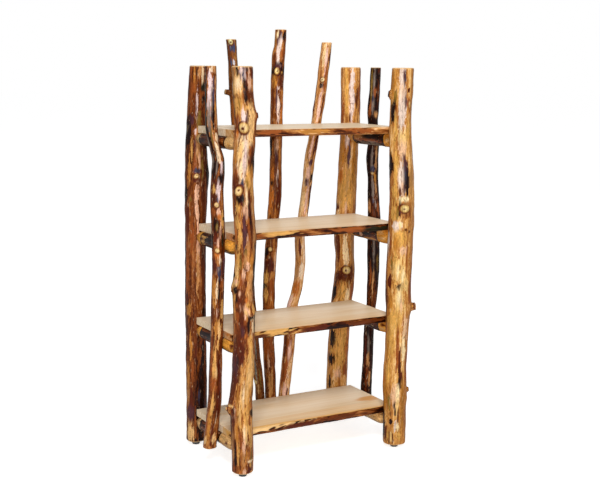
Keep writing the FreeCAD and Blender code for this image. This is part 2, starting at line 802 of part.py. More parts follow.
def nail_hole(name):
    """The hole for a glide's nail in a post's foot."""
    foot = POSTS[name].at_share(0)[0]
    start = V(foot.x, foot.y, GLIDE_THICKNESS - OVERRUN)
    depth = OVERRUN + NAIL_RECESS + NAIL_LENGTH - GLIDE_THICKNESS + SEAT_GAP
    return drill(start, UP, NAIL_RADIUS + SCREW_HOLE_CLEARANCE, depth, SCREW_SIDES)


# The whole bookcase

def build_posts():
    """The four posts with their mortises and nail holes."""
    nodes = {}
    for name, log in POSTS.items():
        solid = log.solid(POST_RIM_ROUND)
        post_side = -1 if "front" in name else 1
        for rung in RUNGS.values():
            if name.endswith(rung["side"]):
                solid = solid.cut(mortise(rung, post_side))
        nodes[name] = solid.cut(nail_hole(name))
        suffix = name[len("post_"):]
        nodes["foot_glide_" + suffix] = glide(name)
    nodes["glide_nails"] = Part.makeCompound([glide_nail(name) for name in POSTS])
    return nodes


def build_frame_and_shelves():
    """Rungs, shelves and poles, each with its seats and screw holes, and the screws."""
    rungs = {name: rung_solid(rung) for name, rung in RUNGS.items()}
    poles = {name: log.solid(POLE_RIM_ROUND) for name, log in POLES.items()}
    boards = {}
    shelf_screws = []
    back_screws = []
    side_screws = []
    for prefix, top in SHELF_TOPS.items():
        shelf = shelf_boards(prefix, top)
        for side, sign in (("left", -1), ("right", 1)):
            name = prefix + "_rung_" + side
            rung = RUNGS[name]
            for row, board in zip(shelf_screw_rows(rung), list(shelf)):
                tool = screw_hole(*row)
                rungs[name] = rungs[name].cut([tool, outward_tool(row, COUNTERBORE_RADIUS)])
                shelf[board] = shelf[board].cut(tool)
                shelf_screws.append(screw(*row))
            pole = "side_pole_" + side
            row = side_screw_row(pole, rung)
            tool = screw_hole(*row)
            recess = outward_tool(row, SCREW_HEAD_RADIUS + SCREW_HOLE_CLEARANCE)
            rungs[name] = rungs[name].cut([tool, recess])
            poles[pole] = poles[pole].cut([side_pole_flat(POLES[pole], rung, sign), tool])
            side_screws.append(screw(*row))
        for pole in BACK_POLES:
            row = back_screw_row(pole, top)
            tool = screw_hole(*row)
            recess = outward_tool(row, SCREW_HEAD_RADIUS + SCREW_HOLE_CLEARANCE)
            flat = back_pole_flat(POLES[pole], top)
            poles[pole] = poles[pole].cut([flat, tool, recess])
            back_board = prefix + "_back_board"
            shelf[back_board] = shelf[back_board].cut(tool)
            back_screws.append(screw(*row))
        boards.update(shelf)
    nodes = {}
    nodes.update(rungs)
    nodes.update(poles)
    nodes.update(boards)
    nodes["shelf_screws"] = Part.makeCompound(shelf_screws)
    nodes["back_pole_screws"] = Part.makeCompound(back_screws)
    nodes["side_pole_screws"] = Part.makeCompound(side_screws)
    return nodes


def main():
    """Builds every piece and writes each to its own file."""
    nodes = build_posts()
    nodes.update(build_frame_and_shelves())
    os.makedirs("parts", exist_ok=True)
    for name, shape in nodes.items():
        shape.exportStep("parts/" + name + ".step")
        box = shape.BoundBox
        print(
            name, "solids", len(shape.Solids), "valid", shape.isValid(),
            "volume %.0f" % shape.Volume,
            "x %.0f %.0f y %.0f %.0f z %.0f %.0f"
            % (box.XMin, box.XMax, box.YMin, box.YMax, box.ZMin, box.ZMax),
        )


main()
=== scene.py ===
import math

import bpy
import numpy as np
from mathutils import Matrix, Vector
from mathutils.bvhtree import BVHTree


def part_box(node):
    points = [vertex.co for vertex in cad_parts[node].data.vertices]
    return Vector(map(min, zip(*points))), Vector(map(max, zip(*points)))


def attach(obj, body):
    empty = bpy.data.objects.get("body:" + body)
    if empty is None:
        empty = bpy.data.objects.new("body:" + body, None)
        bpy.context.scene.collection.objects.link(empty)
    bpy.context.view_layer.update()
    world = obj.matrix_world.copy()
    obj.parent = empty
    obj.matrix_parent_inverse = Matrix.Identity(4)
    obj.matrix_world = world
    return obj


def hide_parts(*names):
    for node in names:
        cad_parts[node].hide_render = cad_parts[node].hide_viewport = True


# The look of the log bookcase, in metres. X runs to the right, Y to the back and Z up.

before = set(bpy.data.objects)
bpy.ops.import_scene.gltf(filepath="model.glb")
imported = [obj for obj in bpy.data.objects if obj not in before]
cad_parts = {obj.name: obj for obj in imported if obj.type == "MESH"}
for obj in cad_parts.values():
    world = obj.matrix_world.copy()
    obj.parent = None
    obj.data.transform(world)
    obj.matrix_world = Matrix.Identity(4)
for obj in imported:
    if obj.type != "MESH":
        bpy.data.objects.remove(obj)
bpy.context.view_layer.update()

# The photograph's camera
CAMERA_PLACE = Vector((-2.5908, -4.4958, 1.8488))
CAMERA_YAW = math.radians(30.0)
CAMERA_PITCH = math.radians(9.53)
CAMERA_ROLL = math.radians(0.62)
CAMERA_LENS = 65.52
CAMERA_SENSOR = 36.0
CAMERA_REACH = 200.0

# Rings of the log meshes: how far apart they lie, and how far along the log they are evened out
RING_SPACING = 0.004
CENTRE_SMOOTHING = 0.016
SURFACE_SMOOTHING = 0.010
# A ray that lands outside this span of the usual radius has met a hole or a long stub
TRUSTED_SHARES = (0.78, 1.16)
# The CAD sections are flat-sided, so the round ones are this much larger
ROUNDING_SHARE = 1.0085
# Lobes around a log that are kept from its CAD section
HARMONICS = 6

# Kinds of log: sides of a ring, width of the sanded rim, then flutes, lumps and ripple of the skin
POST_KIND = (72, 0.007, 0.0011, 0.0009, 0.00035)
POLE_KIND = (48, 0.004, 0.0006, 0.0008, 0.0003)
RUNG_KIND = (44, 0.002, 0.0010, 0.0009, 0.0004)

# Colours

def srgb(red, green, blue):
    """A colour given as a screen shows it, turned into linear light."""
    return tuple((value / 255) ** 2.2 for value in (red, green, blue))


NEAR_BLACK = srgb(34, 14, 8)
DARK_GREEN = srgb(40, 38, 24)
MAROON = srgb(88, 37, 20)
BROWN = srgb(98, 48, 20)
RUST = srgb(146, 78, 36)
ORANGE = srgb(190, 110, 48)
AMBER = srgb(184, 122, 56)
GOLD = srgb(212, 158, 88)
PALE_GOLD = srgb(230, 186, 126)
CREAM = srgb(244, 216, 178)
# Pink: pinkish wood, and painted highlights of the clear coat along the logs
PINK_WOOD_AND_HIGHLIGHT = srgb(226, 178, 150)
# Lilac: pale streaks of the wood, and painted highlights of the clear coat along the logs
LILAC_STREAK_AND_HIGHLIGHT = srgb(224, 200, 200)
PURPLE = srgb(84, 50, 56)
OLIVE = srgb(130, 100, 46)
# Grey: grey bark, and painted highlights of the clear coat on dark wood
GREY_BARK_AND_HIGHLIGHT = srgb(128, 112, 102)
SLATE = srgb(66, 62, 82)
KNOT_YELLOW = srgb(226, 194, 124)
TAN = srgb(186, 132, 82)
# Honey: the whittled shoulders' gold, made brighter than the wood's own to paint in light where the shelves
# above shade them
HONEY_WITH_PAINTED_LIGHT = srgb(238, 166, 70)

# Clear-coated wood from its darkest bark to its palest grain
WOOD = [
    (0.10, srgb(27, 10, 2)),
    (0.22, srgb(52, 21, 6)),
    (0.34, srgb(86, 42, 15)),
    (0.46, srgb(117, 63, 28)),
    (0.57, srgb(146, 88, 45)),
    (0.68, srgb(175, 115, 62)),
    (0.78, srgb(200, 141, 80)),
    (0.86, srgb(221, 168, 108)),
    (0.94, srgb(238, 195, 145)),
    (1.00, srgb(246, 216, 186)),
]

# Marks on each log, in the order they are laid, as seen from the photograph's side: height above
# the floor in millimetres, place across the log in hundredths from -100 at its left edge to 100 at
# its right, half height in millimetres, half width in hundredths, and colour. The lilac, pink and
# grey marks paint the clear coat's highlights as well as the wood's own streaks
MARKS = {
    "post_front_left": [
        (1815, -91, 38, 17, TAN), (1824, -51, 27, 13, NEAR_BLACK), (1807, 4, 46, 42, PURPLE),
        (1777, 21, 25, 18, MAROON), (1807, -1, 38, 25, SLATE), (1832, -13, 14, 15, LILAC_STREAK_AND_HIGHLIGHT),
        (1811, 22, 25, 9, LILAC_STREAK_AND_HIGHLIGHT), (1790, -12, 21, 7, LILAC_STREAK_AND_HIGHLIGHT), (1773, 11, 25, 16, NEAR_BLACK),
        (1836, 47, 17, 10, NEAR_BLACK), (1790, 58, 63, 15, PINK_WOOD_AND_HIGHLIGHT), (1819, 83, 29, 12, MAROON),
        # The nested rust, gold, pale gold and cream marks from 1735 to 1773 mm paint the bulge's highlight
        # on its upper part over its golden wood
        (1735, -61, 51, 67, RUST), (1750, -59, 48, 53, GOLD), (1765, -51, 42, 41, PALE_GOLD),
        (1773, -45, 25, 25, CREAM), (1712, -75, 13, 36, BROWN), (1703, -67, 9, 32, GOLD),
        (1726, -63, 7, 8, BROWN), (1731, -117, 38, 10, PINK_WOOD_AND_HIGHLIGHT), (1739, 24, 34, 24, NEAR_BLACK),
        (1714, 50, 30, 40, BROWN), (1709, 20, 21, 16, NEAR_BLACK), (1675, -66, 38, 53, GOLD),
        (1692, -49, 26, 8, OLIVE), (1633, -106, 51, 13, BROWN), (1663, 22, 26, 29, GOLD),
        (1633, 61, 60, 30, PALE_GOLD), (1611, 92, 51, 9, RUST), (1611, -73, 34, 16, RUST),
        (1581, -87, 38, 9, BROWN), (1637, -16, 28, 24, LILAC_STREAK_AND_HIGHLIGHT), (1622, 15, 18, 14, PURPLE),
        (1654, 28, 13, 8, MAROON), (1569, 52, 51, 27, PALE_GOLD), (1552, -71, 21, 17, ORANGE),
        (1549, -17, 23, 31, MAROON), (1543, -13, 13, 11, PURPLE), (1457, -14, 95, 69, CREAM),
        (1483, -41, 52, 29, PALE_GOLD), (1448, 10, 78, 18, LILAC_STREAK_AND_HIGHLIGHT), (1440, -78, 87, 12, AMBER),
        (1444, 74, 65, 31, BROWN), (1435, 92, 48, 17, NEAR_BLACK), (1483, 55, 22, 10, RUST),
        (1383, -67, 39, 18, RUST), (1362, -56, 22, 20, BROWN), (1344, -83, 35, 11, MAROON),
        (1357, 50, 43, 30, GOLD), (1344, 40, 26, 14, OLIVE), (1327, 21, 17, 10, PALE_GOLD),
        (1379, 84, 35, 10, AMBER), (1344, -5, 22, 17, SLATE), (1325, 7, 11, 9, PURPLE),
        (1309, 90, 39, 12, GOLD), (1329, -35, 11, 36, MAROON), (1309, 25, 22, 12, TAN),
        (1257, 0, 22, 9, OLIVE), (1275, 36, 35, 17, CREAM), (1222, 18, 31, 25, PINK_WOOD_AND_HIGHLIGHT),
        (1244, -51, 31, 21, GOLD), (1279, -28, 23, 39, NEAR_BLACK), (1257, -14, 10, 15, MAROON),
        (1288, 61, 35, 11, BROWN), (1213, 62, 97, 14, MAROON), (1169, 58, 71, 12, NEAR_BLACK),
        (1209, 90, 105, 9, TAN), (1191, -41, 27, 11, RUST), (1169, -73, 44, 16, GOLD),
        (1143, -3, 71, 30, MAROON), (1178, 2, 27, 7, PURPLE), (1152, -48, 40, 13, GOLD),
        (1129, -89, 40, 12, ORANGE), (1107, -48, 40, 19, GOLD), (1125, -6, 62, 18, PURPLE),
        (1098, 19, 22, 7, PINK_WOOD_AND_HIGHLIGHT), (1116, 37, 62, 11, RUST), (1085, 61, 71, 10, BROWN),
        (1085, 84, 71, 11, TAN), (1057, -79, 29, 9, NEAR_BLACK), (1068, 29, 22, 12, TAN),
        (1039, 5, 16, 11, OLIVE), (992, -65, 58, 27, GOLD), (1001, -37, 40, 10, OLIVE),
        (1019, -94, 35, 9, ORANGE), (956, -69, 27, 17, PALE_GOLD), (1001, 2, 31, 14, TAN),
        (979, 26, 18, 20, PINK_WOOD_AND_HIGHLIGHT), (963, 3, 5, 23, BROWN), (936, -4, 27, 20, PINK_WOOD_AND_HIGHLIGHT), (907, -24, 27, 17, RUST),
        (902, 21, 31, 11, MAROON), (875, 9, 31, 11, ORANGE), (884, 68, 81, 22, TAN),
        (1001, 61, 45, 16, AMBER), (956, 97, 116, 17, NEAR_BLACK), (934, -94, 16, 10, NEAR_BLACK),
        (904, -87, 19, 29, PALE_GOLD), (911, -73, 13, 12, PINK_WOOD_AND_HIGHLIGHT), (871, -68, 16, 25, NEAR_BLACK),
        (821, -10, 58, 52, BROWN), (830, -36, 27, 15, MAROON), (844, -61, 13, 12, MAROON),
        (817, -60, 31, 11, NEAR_BLACK), (804, -87, 54, 9, GOLD), (790, -28, 18, 9, PINK_WOOD_AND_HIGHLIGHT),
        (784, 30, 27, 28, PINK_WOOD_AND_HIGHLIGHT), (772, 23, 18, 19, PALE_GOLD), (781, 81, 21, 18, GOLD),
        (747, 79, 12, 21, NEAR_BLACK), (804, 46, 13, 22, GOLD), (704, -25, 91, 57, BROWN),
        (713, -7, 41, 25, MAROON), (731, -57, 32, 11, RUST), (681, -14, 23, 15, PURPLE),
        (713, 44, 37, 13, NEAR_BLACK), (699, 78, 39, 13, CREAM), (830, 32, 13, 11, ORANGE),
        (857, -31, 13, 9, PINK_WOOD_AND_HIGHLIGHT), (804, -56, 13, 9, RUST), (759, -60, 14, 13, RUST), (731, 9, 18, 11, RUST),
        (676, -72, 23, 9, RUST), (663, 19, 14, 13, ORANGE), (754, 16, 14, 9, PINK_WOOD_AND_HIGHLIGHT), (626, -6, 18, 9, RUST),
        (594, -48, 23, 8, RUST), (713, 99, 41, 8, NEAR_BLACK), (643, -19, 12, 15, ORANGE),
        (643, -26, 5, 7, PINK_WOOD_AND_HIGHLIGHT), (622, -66, 55, 21, BROWN), (603, -25, 55, 37, MAROON),
        (649, 27, 37, 11, RUST), (548, -60, 64, 33, MAROON), (537, -58, 34, 14, DARK_GREEN),
        (567, -11, 37, 19, MAROON), (503, -69, 55, 28, PURPLE), (489, -40, 42, 17, BROWN),
        (447, -74, 51, 30, MAROON), (405, -78, 42, 28, BROWN), (372, -87, 28, 21, BROWN),
        (594, 63, 64, 22, GOLD), (521, 55, 92, 41, GOLD), (428, 38, 93, 54, GOLD),
        (503, 74, 101, 11, PALE_GOLD), (456, 46, 102, 10, PALE_GOLD), (419, 16, 84, 9, CREAM),
        (475, 18, 42, 7, AMBER), (391, -3, 65, 8, PALE_GOLD), (391, -35, 47, 10, AMBER),
        (372, 71, 56, 10, AMBER), (337, -90, 8, 16, PALE_GOLD), (317, -57, 33, 10, PINK_WOOD_AND_HIGHLIGHT),
        (307, -46, 23, 13, RUST), (317, -68, 19, 7, NEAR_BLACK), (289, -9, 65, 31, GOLD),
        (307, -14, 56, 8, PALE_GOLD), (275, 8, 33, 11, RUST), (289, 51, 65, 12, GOLD),
        (308, 90, 17, 12, NEAR_BLACK), (275, -72, 42, 11, MAROON), (233, -93, 75, 9, BROWN),
        (242, 39, 42, 25, GOLD), (218, -45, 42, 19, AMBER), (204, 35, 47, 21, PALE_GOLD),
        (218, 23, 38, 7, CREAM), (199, 77, 66, 15, GOLD), (185, -18, 47, 17, RUST),
        (176, -79, 43, 10, BROWN), (143, 14, 38, 13, PINK_WOOD_AND_HIGHLIGHT), (95, -66, 76, 10, NEAR_BLACK),
        (157, -89, 66, 8, TAN), (110, -35, 57, 10, GOLD), (67, -24, 43, 9, BROWN), (81, 9, 38, 13, TAN),
        (105, 39, 33, 11, AMBER), (91, 81, 38, 11, OLIVE), (53, 66, 26, 21, MAROON), (79, 71, 6, 23, CREAM),
        (62, 75, 9, 9, GOLD), (32, 58, 9, 17, MAROON), (29, 14, 14, 13, PINK_WOOD_AND_HIGHLIGHT), (25, -20, 12, 15, ORANGE),
        (43, -81, 14, 10, RUST),
    ],
    "post_front_right": [
        (1775, -82, 73, 19, AMBER), (1719, -59, 23, 15, OLIVE), (1756, 1, 110, 34, PINK_WOOD_AND_HIGHLIGHT),
        (1811, 0, 46, 27, LILAC_STREAK_AND_HIGHLIGHT), (1802, 24, 36, 11, SLATE), (1645, 3, 102, 36, LILAC_STREAK_AND_HIGHLIGHT),
        (1811, 15, 32, 8, PURPLE), (1747, 53, 16, 13, MAROON), (1692, 35, 28, 9, PURPLE),
        (1682, 65, 28, 16, RUST), (1682, 69, 14, 7, PALE_GOLD), (1747, 91, 110, 11, AMBER),
        (1643, -71, 49, 20, NEAR_BLACK), (1645, -46, 46, 8, RUST), (1583, -64, 12, 13, RUST),
        (1562, -44, 65, 19, GOLD), (1516, 14, 47, 36, PALE_GOLD), (1469, 12, 42, 35, PINK_WOOD_AND_HIGHLIGHT),
        (1557, 66, 42, 17, GOLD), (1398, -81, 47, 19, NEAR_BLACK), (1365, -104, 56, 8, NEAR_BLACK),
        (1398, -41, 66, 20, GOLD), (1328, 4, 75, 30, LILAC_STREAK_AND_HIGHLIGHT), (1299, 9, 47, 14, PINK_WOOD_AND_HIGHLIGHT),
        (1347, 7, 28, 9, LILAC_STREAK_AND_HIGHLIGHT), (1389, 37, 47, 23, PURPLE), (1431, 25, 19, 9, PURPLE),
        (1314, 45, 66, 18, NEAR_BLACK), (1347, 29, 38, 9, SLATE), (1271, -13, 24, 10, MAROON),
        (1281, 17, 24, 7, PURPLE), (1233, -116, 123, 9, NEAR_BLACK), (1281, -55, 57, 23, GOLD),
        (1337, 80, 75, 11, TAN), (1190, 28, 41, 44, RUST), (1192, 28, 35, 35, TAN),
        (1237, 17, 11, 45, CREAM), (1214, -9, 24, 7, CREAM), (1190, -11, 38, 9, NEAR_BLACK),
        (1171, 39, 24, 6, BROWN), (1202, 33, 6, 14, BROWN), (1181, 60, 24, 6, RUST),
        (1176, -60, 48, 21, GOLD), (1176, -31, 53, 6, OLIVE), (1107, -28, 21, 42, LILAC_STREAK_AND_HIGHLIGHT),
        (1114, -3, 14, 17, CREAM), (1090, 38, 11, 11, BROWN), (1080, 66, 8, 7, BROWN),
        (1052, 2, 38, 44, GOLD), (1023, -96, 53, 12, LILAC_STREAK_AND_HIGHLIGHT), (980, -112, 48, 11, NEAR_BLACK),
        (1018, -68, 48, 9, RUST), (1023, -31, 38, 18, AMBER), (989, 28, 21, 26, PINK_WOOD_AND_HIGHLIGHT),
        (936, 58, 58, 7, RUST), (897, -4, 58, 45, PALE_GOLD), (887, -9, 34, 10, CREAM),
        (868, 36, 34, 9, CREAM), (955, -30, 29, 14, GOLD), (926, -53, 24, 7, OLIVE),
        (909, 11, 15, 5, BROWN), (839, -60, 39, 13, MAROON), (849, -26, 49, 10, GOLD),
        (812, 13, 17, 20, NEAR_BLACK), (829, 57, 39, 17, PALE_GOLD), (800, 87, 68, 8, RUST),
        (737, 11, 64, 40, PALE_GOLD), (761, 7, 39, 12, CREAM), (722, 25, 34, 9, PINK_WOOD_AND_HIGHLIGHT),
        (781, -94, 117, 9, BROWN), (737, -59, 39, 17, AMBER), (653, -21, 44, 55, GOLD),
        (623, -41, 35, 19, PALE_GOLD), (643, -53, 39, 33, GOLD), (594, -88, 22, 27, ORANGE),
        (589, 58, 59, 25, PINK_WOOD_AND_HIGHLIGHT), (530, -56, 89, 33, GOLD), (495, -77, 60, 9, AMBER),
        (505, 9, 109, 13, RUST), (425, 33, 70, 11, NEAR_BLACK), (505, 58, 85, 16, CREAM),
        (445, 33, 70, 8, MAROON), (359, 49, 35, 17, MAROON), (425, 85, 80, 8, RUST),
        (380, -65, 50, 21, GOLD), (344, -91, 25, 12, ORANGE), (284, -84, 71, 14, AMBER),
        (239, -50, 41, 15, OLIVE), (334, 40, 30, 15, NEAR_BLACK), (264, 3, 61, 36, PINK_WOOD_AND_HIGHLIGHT),
        (234, 24, 61, 13, PALE_GOLD), (284, 22, 40, 14, CREAM), (224, -4, 22, 7, NEAR_BLACK),
        (188, 6, 20, 6, NEAR_BLACK), (178, 30, 41, 8, BROWN), (142, -30, 15, 17, NEAR_BLACK),
        (122, 5, 25, 13, LILAC_STREAK_AND_HIGHLIGHT), (112, 29, 17, 15, CREAM), (193, 64, 112, 18, AMBER),
        (81, -73, 41, 8, BROWN), (66, -43, 36, 7, MAROON), (71, -14, 31, 7, BROWN), (66, -58, 31, 7, GOLD),
        (61, -29, 31, 6, PALE_GOLD), (71, 44, 31, 18, GOLD), (117, -95, 81, 8, NEAR_BLACK),
    ],
    "post_back_left": [
        (1828, -76, 37, 20, RUST), (1800, -41, 37, 15, AMBER), (1819, -13, 28, 7, DARK_GREEN),
        (1819, 21, 28, 20, TAN), (1800, 54, 37, 12, CREAM), (1782, 91, 64, 11, BROWN),
        (1748, 68, 18, 22, DARK_GREEN), (1718, 66, 9, 20, RUST), (1690, 69, 19, 18, NEAR_BLACK),
        (1685, 3, 65, 13, LILAC_STREAK_AND_HIGHLIGHT), (1745, -60, 37, 28, RUST), (1736, -90, 46, 9, BROWN),
        (1671, -24, 51, 14, BROWN), (1676, -59, 37, 13, RUST), (1597, -60, 23, 27, PURPLE),
        (1541, -79, 70, 24, NEAR_BLACK), (1592, 28, 51, 25, OLIVE), (1643, 79, 37, 13, RUST),
        (1544, -10, 14, 11, LILAC_STREAK_AND_HIGHLIGHT), (1532, 22, 28, 19, AMBER), (1541, 87, 16, 13, LILAC_STREAK_AND_HIGHLIGHT),
        (1495, 87, 23, 25, NEAR_BLACK), (1452, -42, 52, 11, GOLD), (1448, 20, 57, 21, TAN),
        (1476, -11, 38, 8, PURPLE), (1410, 27, 38, 10, PINK_WOOD_AND_HIGHLIGHT), (1400, -20, 42, 15, RUST),
        (1353, -61, 57, 15, AMBER), (1359, 1, 12, 24, SLATE), (1317, 1, 11, 28, MAROON),
        (1245, -85, 52, 11, NEAR_BLACK), (1268, -58, 28, 10, BROWN), (1223, -47, 14, 12, OLIVE),
        (1230, 6, 72, 15, PINK_WOOD_AND_HIGHLIGHT), (1334, 93, 47, 13, NEAR_BLACK), (1372, 51, 66, 13, OLIVE),
        (1259, 60, 76, 15, BROWN), (1115, -72, 86, 20, MAROON), (1067, -34, 106, 16, RUST),
        (1029, 26, 126, 14, PINK_WOOD_AND_HIGHLIGHT), (873, 22, 107, 13, TAN), (932, 78, 243, 18, BROWN),
        (883, -75, 127, 18, RUST), (742, -86, 20, 22, MAROON), (687, -65, 30, 22, AMBER),
        (657, 71, 30, 14, NEAR_BLACK), (588, 45, 69, 21, RUST), (499, -53, 60, 15, AMBER),
        (459, 61, 70, 15, NEAR_BLACK), (479, -6, 60, 8, MAROON), (348, -81, 70, 12, AMBER),
        (378, -37, 60, 14, RUST), (222, 37, 203, 42, NEAR_BLACK), (258, 20, 61, 10, SLATE),
        (145, 81, 71, 11, SLATE), (288, 88, 101, 10, BROWN), (227, -55, 71, 18, MAROON),
        (258, -89, 51, 10, TAN), (166, -63, 36, 32, PURPLE), (64, -64, 46, 27, PALE_GOLD),
        (31, -1, 8, 13, NEAR_BLACK), (31, 69, 8, 13, NEAR_BLACK),
    ],
    "post_back_right": [
        (1730, 12, 130, 25, LILAC_STREAK_AND_HIGHLIGHT), (1725, -44, 130, 19, GOLD), (1702, 57, 45, 14, BROWN),
        (1624, -81, 60, 13, RUST), (1594, -11, 20, 8, BROWN), (1735, 91, 120, 13, RUST),
        (1479, -26, 31, 23, LILAC_STREAK_AND_HIGHLIGHT), (1402, 2, 61, 15, PURPLE), (1433, -70, 71, 27, AMBER),
        (1356, 60, 153, 17, AMBER), (1228, -11, 93, 68, GOLD), (1300, -67, 41, 17, ORANGE),
        (1130, 1, 36, 11, PINK_WOOD_AND_HIGHLIGHT), (1140, -81, 16, 19, BROWN), (911, 15, 79, 27, CREAM),
        (937, -59, 84, 21, BROWN), (916, 80, 95, 15, TAN), (785, 26, 42, 62, BROWN),
        (774, -49, 37, 31, MAROON), (695, -1, 48, 45, GOLD), (673, 43, 43, 16, CREAM),
        (689, -78, 48, 15, NEAR_BLACK), (700, 81, 48, 16, RUST), (443, -57, 49, 26, NEAR_BLACK),
        (492, 17, 75, 22, AMBER), (378, 30, 119, 60, GOLD), (411, 82, 140, 15, ORANGE),
        (378, -65, 13, 20, GOLD), (332, -59, 30, 30, NEAR_BLACK), (254, 14, 30, 30, PINK_WOOD_AND_HIGHLIGHT),
        (286, 66, 43, 20, RUST), (210, -66, 33, 16, NEAR_BLACK), (111, 3, 88, 39, AMBER),
    ],
    "side_pole_left": [
        (1648, -90, 192, 15, DARK_GREEN), (1822, -55, 22, 29, BROWN), (1834, 10, 13, 29, CREAM),
        (1834, 66, 15, 28, TAN), (1770, -6, 52, 40, LILAC_STREAK_AND_HIGHLIGHT), (1691, -30, 53, 33, LILAC_STREAK_AND_HIGHLIGHT),
        (1613, -37, 70, 27, GREY_BARK_AND_HIGHLIGHT), (1683, 21, 79, 16, GREY_BARK_AND_HIGHLIGHT), (1761, 53, 35, 15, PURPLE),
        (1713, 40, 52, 16, SLATE), (1621, 33, 70, 24, NEAR_BLACK), (1770, 97, 69, 18, TAN),
        (1665, 82, 22, 16, AMBER), (1604, 87, 53, 16, TAN), (1490, -56, 75, 55, NEAR_BLACK),
        (1481, -87, 53, 11, GREY_BARK_AND_HIGHLIGHT), (1525, -12, 40, 11, OLIVE), (1534, 70, 39, 22, CREAM),
        (1468, 37, 40, 22, CREAM), (1476, 91, 53, 16, BROWN), (1410, -54, 53, 50, NEAR_BLACK),
        (1432, -84, 36, 11, GREY_BARK_AND_HIGHLIGHT), (1396, -27, 31, 11, GREY_BARK_AND_HIGHLIGHT), (1441, 30, 18, 27, CREAM),
        (1401, 53, 36, 21, LILAC_STREAK_AND_HIGHLIGHT), (1414, 93, 44, 16, DARK_GREEN), (1352, 44, 22, 58, NEAR_BLACK),
        (1330, -39, 18, 47, MAROON), (1303, -38, 22, 27, GOLD), (1298, 26, 40, 32, LILAC_STREAK_AND_HIGHLIGHT),
        (1261, 5, 13, 16, SLATE), (1265, -63, 21, 30, MAROON), (1321, 99, 44, 17, BROWN),
        (1204, -59, 18, 35, RUST), (1200, 20, 20, 35, PINK_WOOD_AND_HIGHLIGHT), (1182, 20, 12, 41, ORANGE),
        (1154, 72, 50, 19, GOLD), (1173, 87, 7, 11, NEAR_BLACK), (1127, 73, 7, 11, NEAR_BLACK),
        (1141, -22, 40, 42, NEAR_BLACK), (1139, -13, 16, 16, OLIVE), (1118, 37, 41, 12, PINK_WOOD_AND_HIGHLIGHT),
        (1087, -31, 27, 40, MAROON), (1073, 2, 20, 14, PINK_WOOD_AND_HIGHLIGHT), (1082, 64, 41, 17, DARK_GREEN),
        (1154, -77, 54, 14, BROWN), (1073, -78, 36, 15, NEAR_BLACK), (1014, -12, 16, 56, ORANGE),
        (959, -62, 46, 24, MAROON), (987, 29, 23, 16, CREAM), (934, 19, 30, 34, SLATE),
        (950, 9, 14, 10, GREY_BARK_AND_HIGHLIGHT), (954, 78, 46, 19, PURPLE), (881, -12, 28, 11, CREAM),
        (839, 19, 60, 15, NEAR_BLACK), (839, -57, 65, 31, AMBER), (834, -21, 32, 10, CREAM),
        (867, 70, 32, 21, RUST), (765, 73, 70, 22, GOLD), (747, 8, 33, 30, MAROON), (751, -5, 19, 10, PINK_WOOD_AND_HIGHLIGHT),
        (737, -81, 42, 18, BROWN), (672, 2, 33, 53, AMBER), (658, 36, 37, 22, PALE_GOLD),
        (597, -51, 33, 33, MAROON), (597, 25, 28, 13, GOLD), (592, 75, 28, 17, BROWN),
        (513, -72, 80, 16, RUST), (513, -25, 80, 26, GOLD), (484, 43, 66, 29, MAROON),
        (456, 7, 29, 13, PALE_GOLD), (399, -20, 38, 53, RUST), (303, -25, 57, 26, GOLD),
        (236, 44, 38, 8, CREAM), (313, 51, 95, 29, MAROON), (183, -51, 68, 37, AMBER),
        (159, 9, 48, 20, MAROON), (122, -76, 21, 15, PALE_GOLD), (130, 47, 24, 23, PALE_GOLD),
        (188, -82, 39, 12, RUST),
    ],
    "side_pole_right": [
        (1739, 20, 128, 104, NEAR_BLACK), (1758, -67, 69, 16, OLIVE), (1778, -19, 79, 18, GREY_BARK_AND_HIGHLIGHT),
        (1832, 79, 17, 24, MAROON), (1729, 70, 59, 18, BROWN), (1729, 7, 25, 30, RUST),
        (1669, -16, 40, 20, GREY_BARK_AND_HIGHLIGHT), (1694, -24, 15, 15, SLATE), (1635, -65, 35, 19, RUST),
        (1615, 58, 17, 30, TAN), (1585, -7, 20, 82, NEAR_BLACK), (1400, -49, 50, 41, NEAR_BLACK),
        (1400, -8, 60, 21, GREY_BARK_AND_HIGHLIGHT), (1400, 58, 50, 19, TAN), (1343, 4, 13, 33, SLATE),
        (1300, 42, 23, 25, AMBER), (1249, -63, 71, 34, NEAR_BLACK), (1249, -7, 61, 24, GREY_BARK_AND_HIGHLIGHT),
        (1249, 53, 35, 10, TAN), (1178, -11, 11, 15, SLATE), (1147, -67, 31, 18, TAN),
        (1158, 30, 26, 13, GREY_BARK_AND_HIGHLIGHT), (1142, 73, 31, 18, RUST), (1137, -22, 31, 23, BROWN),
        (870, 7, 124, 86, NEAR_BLACK), (932, 8, 72, 15, GREY_BARK_AND_HIGHLIGHT), (870, 66, 41, 13, OLIVE),
        (818, -40, 52, 15, RUST), (772, 4, 62, 14, TAN), (434, -7, 85, 91, NEAR_BLACK),
        (434, 1, 48, 23, GREY_BARK_AND_HIGHLIGHT), (354, -3, 39, 31, TAN), (397, -56, 107, 19, MAROON),
        (269, -11, 54, 40, BROWN), (248, 45, 43, 16, TAN),
    ],
    "back_pole_middle": [
        (1988, -23, 33, 47, PURPLE), (2002, -51, 19, 18, CREAM), (1964, 14, 28, 22, LILAC_STREAK_AND_HIGHLIGHT),
        (1993, 68, 28, 27, NEAR_BLACK), (1974, -86, 47, 18, AMBER), (1912, -9, 57, 28, LILAC_STREAK_AND_HIGHLIGHT),
        (1917, 74, 43, 27, RUST), (1879, -55, 38, 24, BROWN), (1829, 2, 31, 108, NEAR_BLACK),
        (1827, -24, 10, 20, PALE_GOLD), (1820, 64, 8, 13, GOLD), (1850, 13, 8, 51, PURPLE),
        (1774, -43, 29, 33, AMBER), (1774, 61, 29, 30, MAROON), (1659, 29, 68, 23, LILAC_STREAK_AND_HIGHLIGHT),
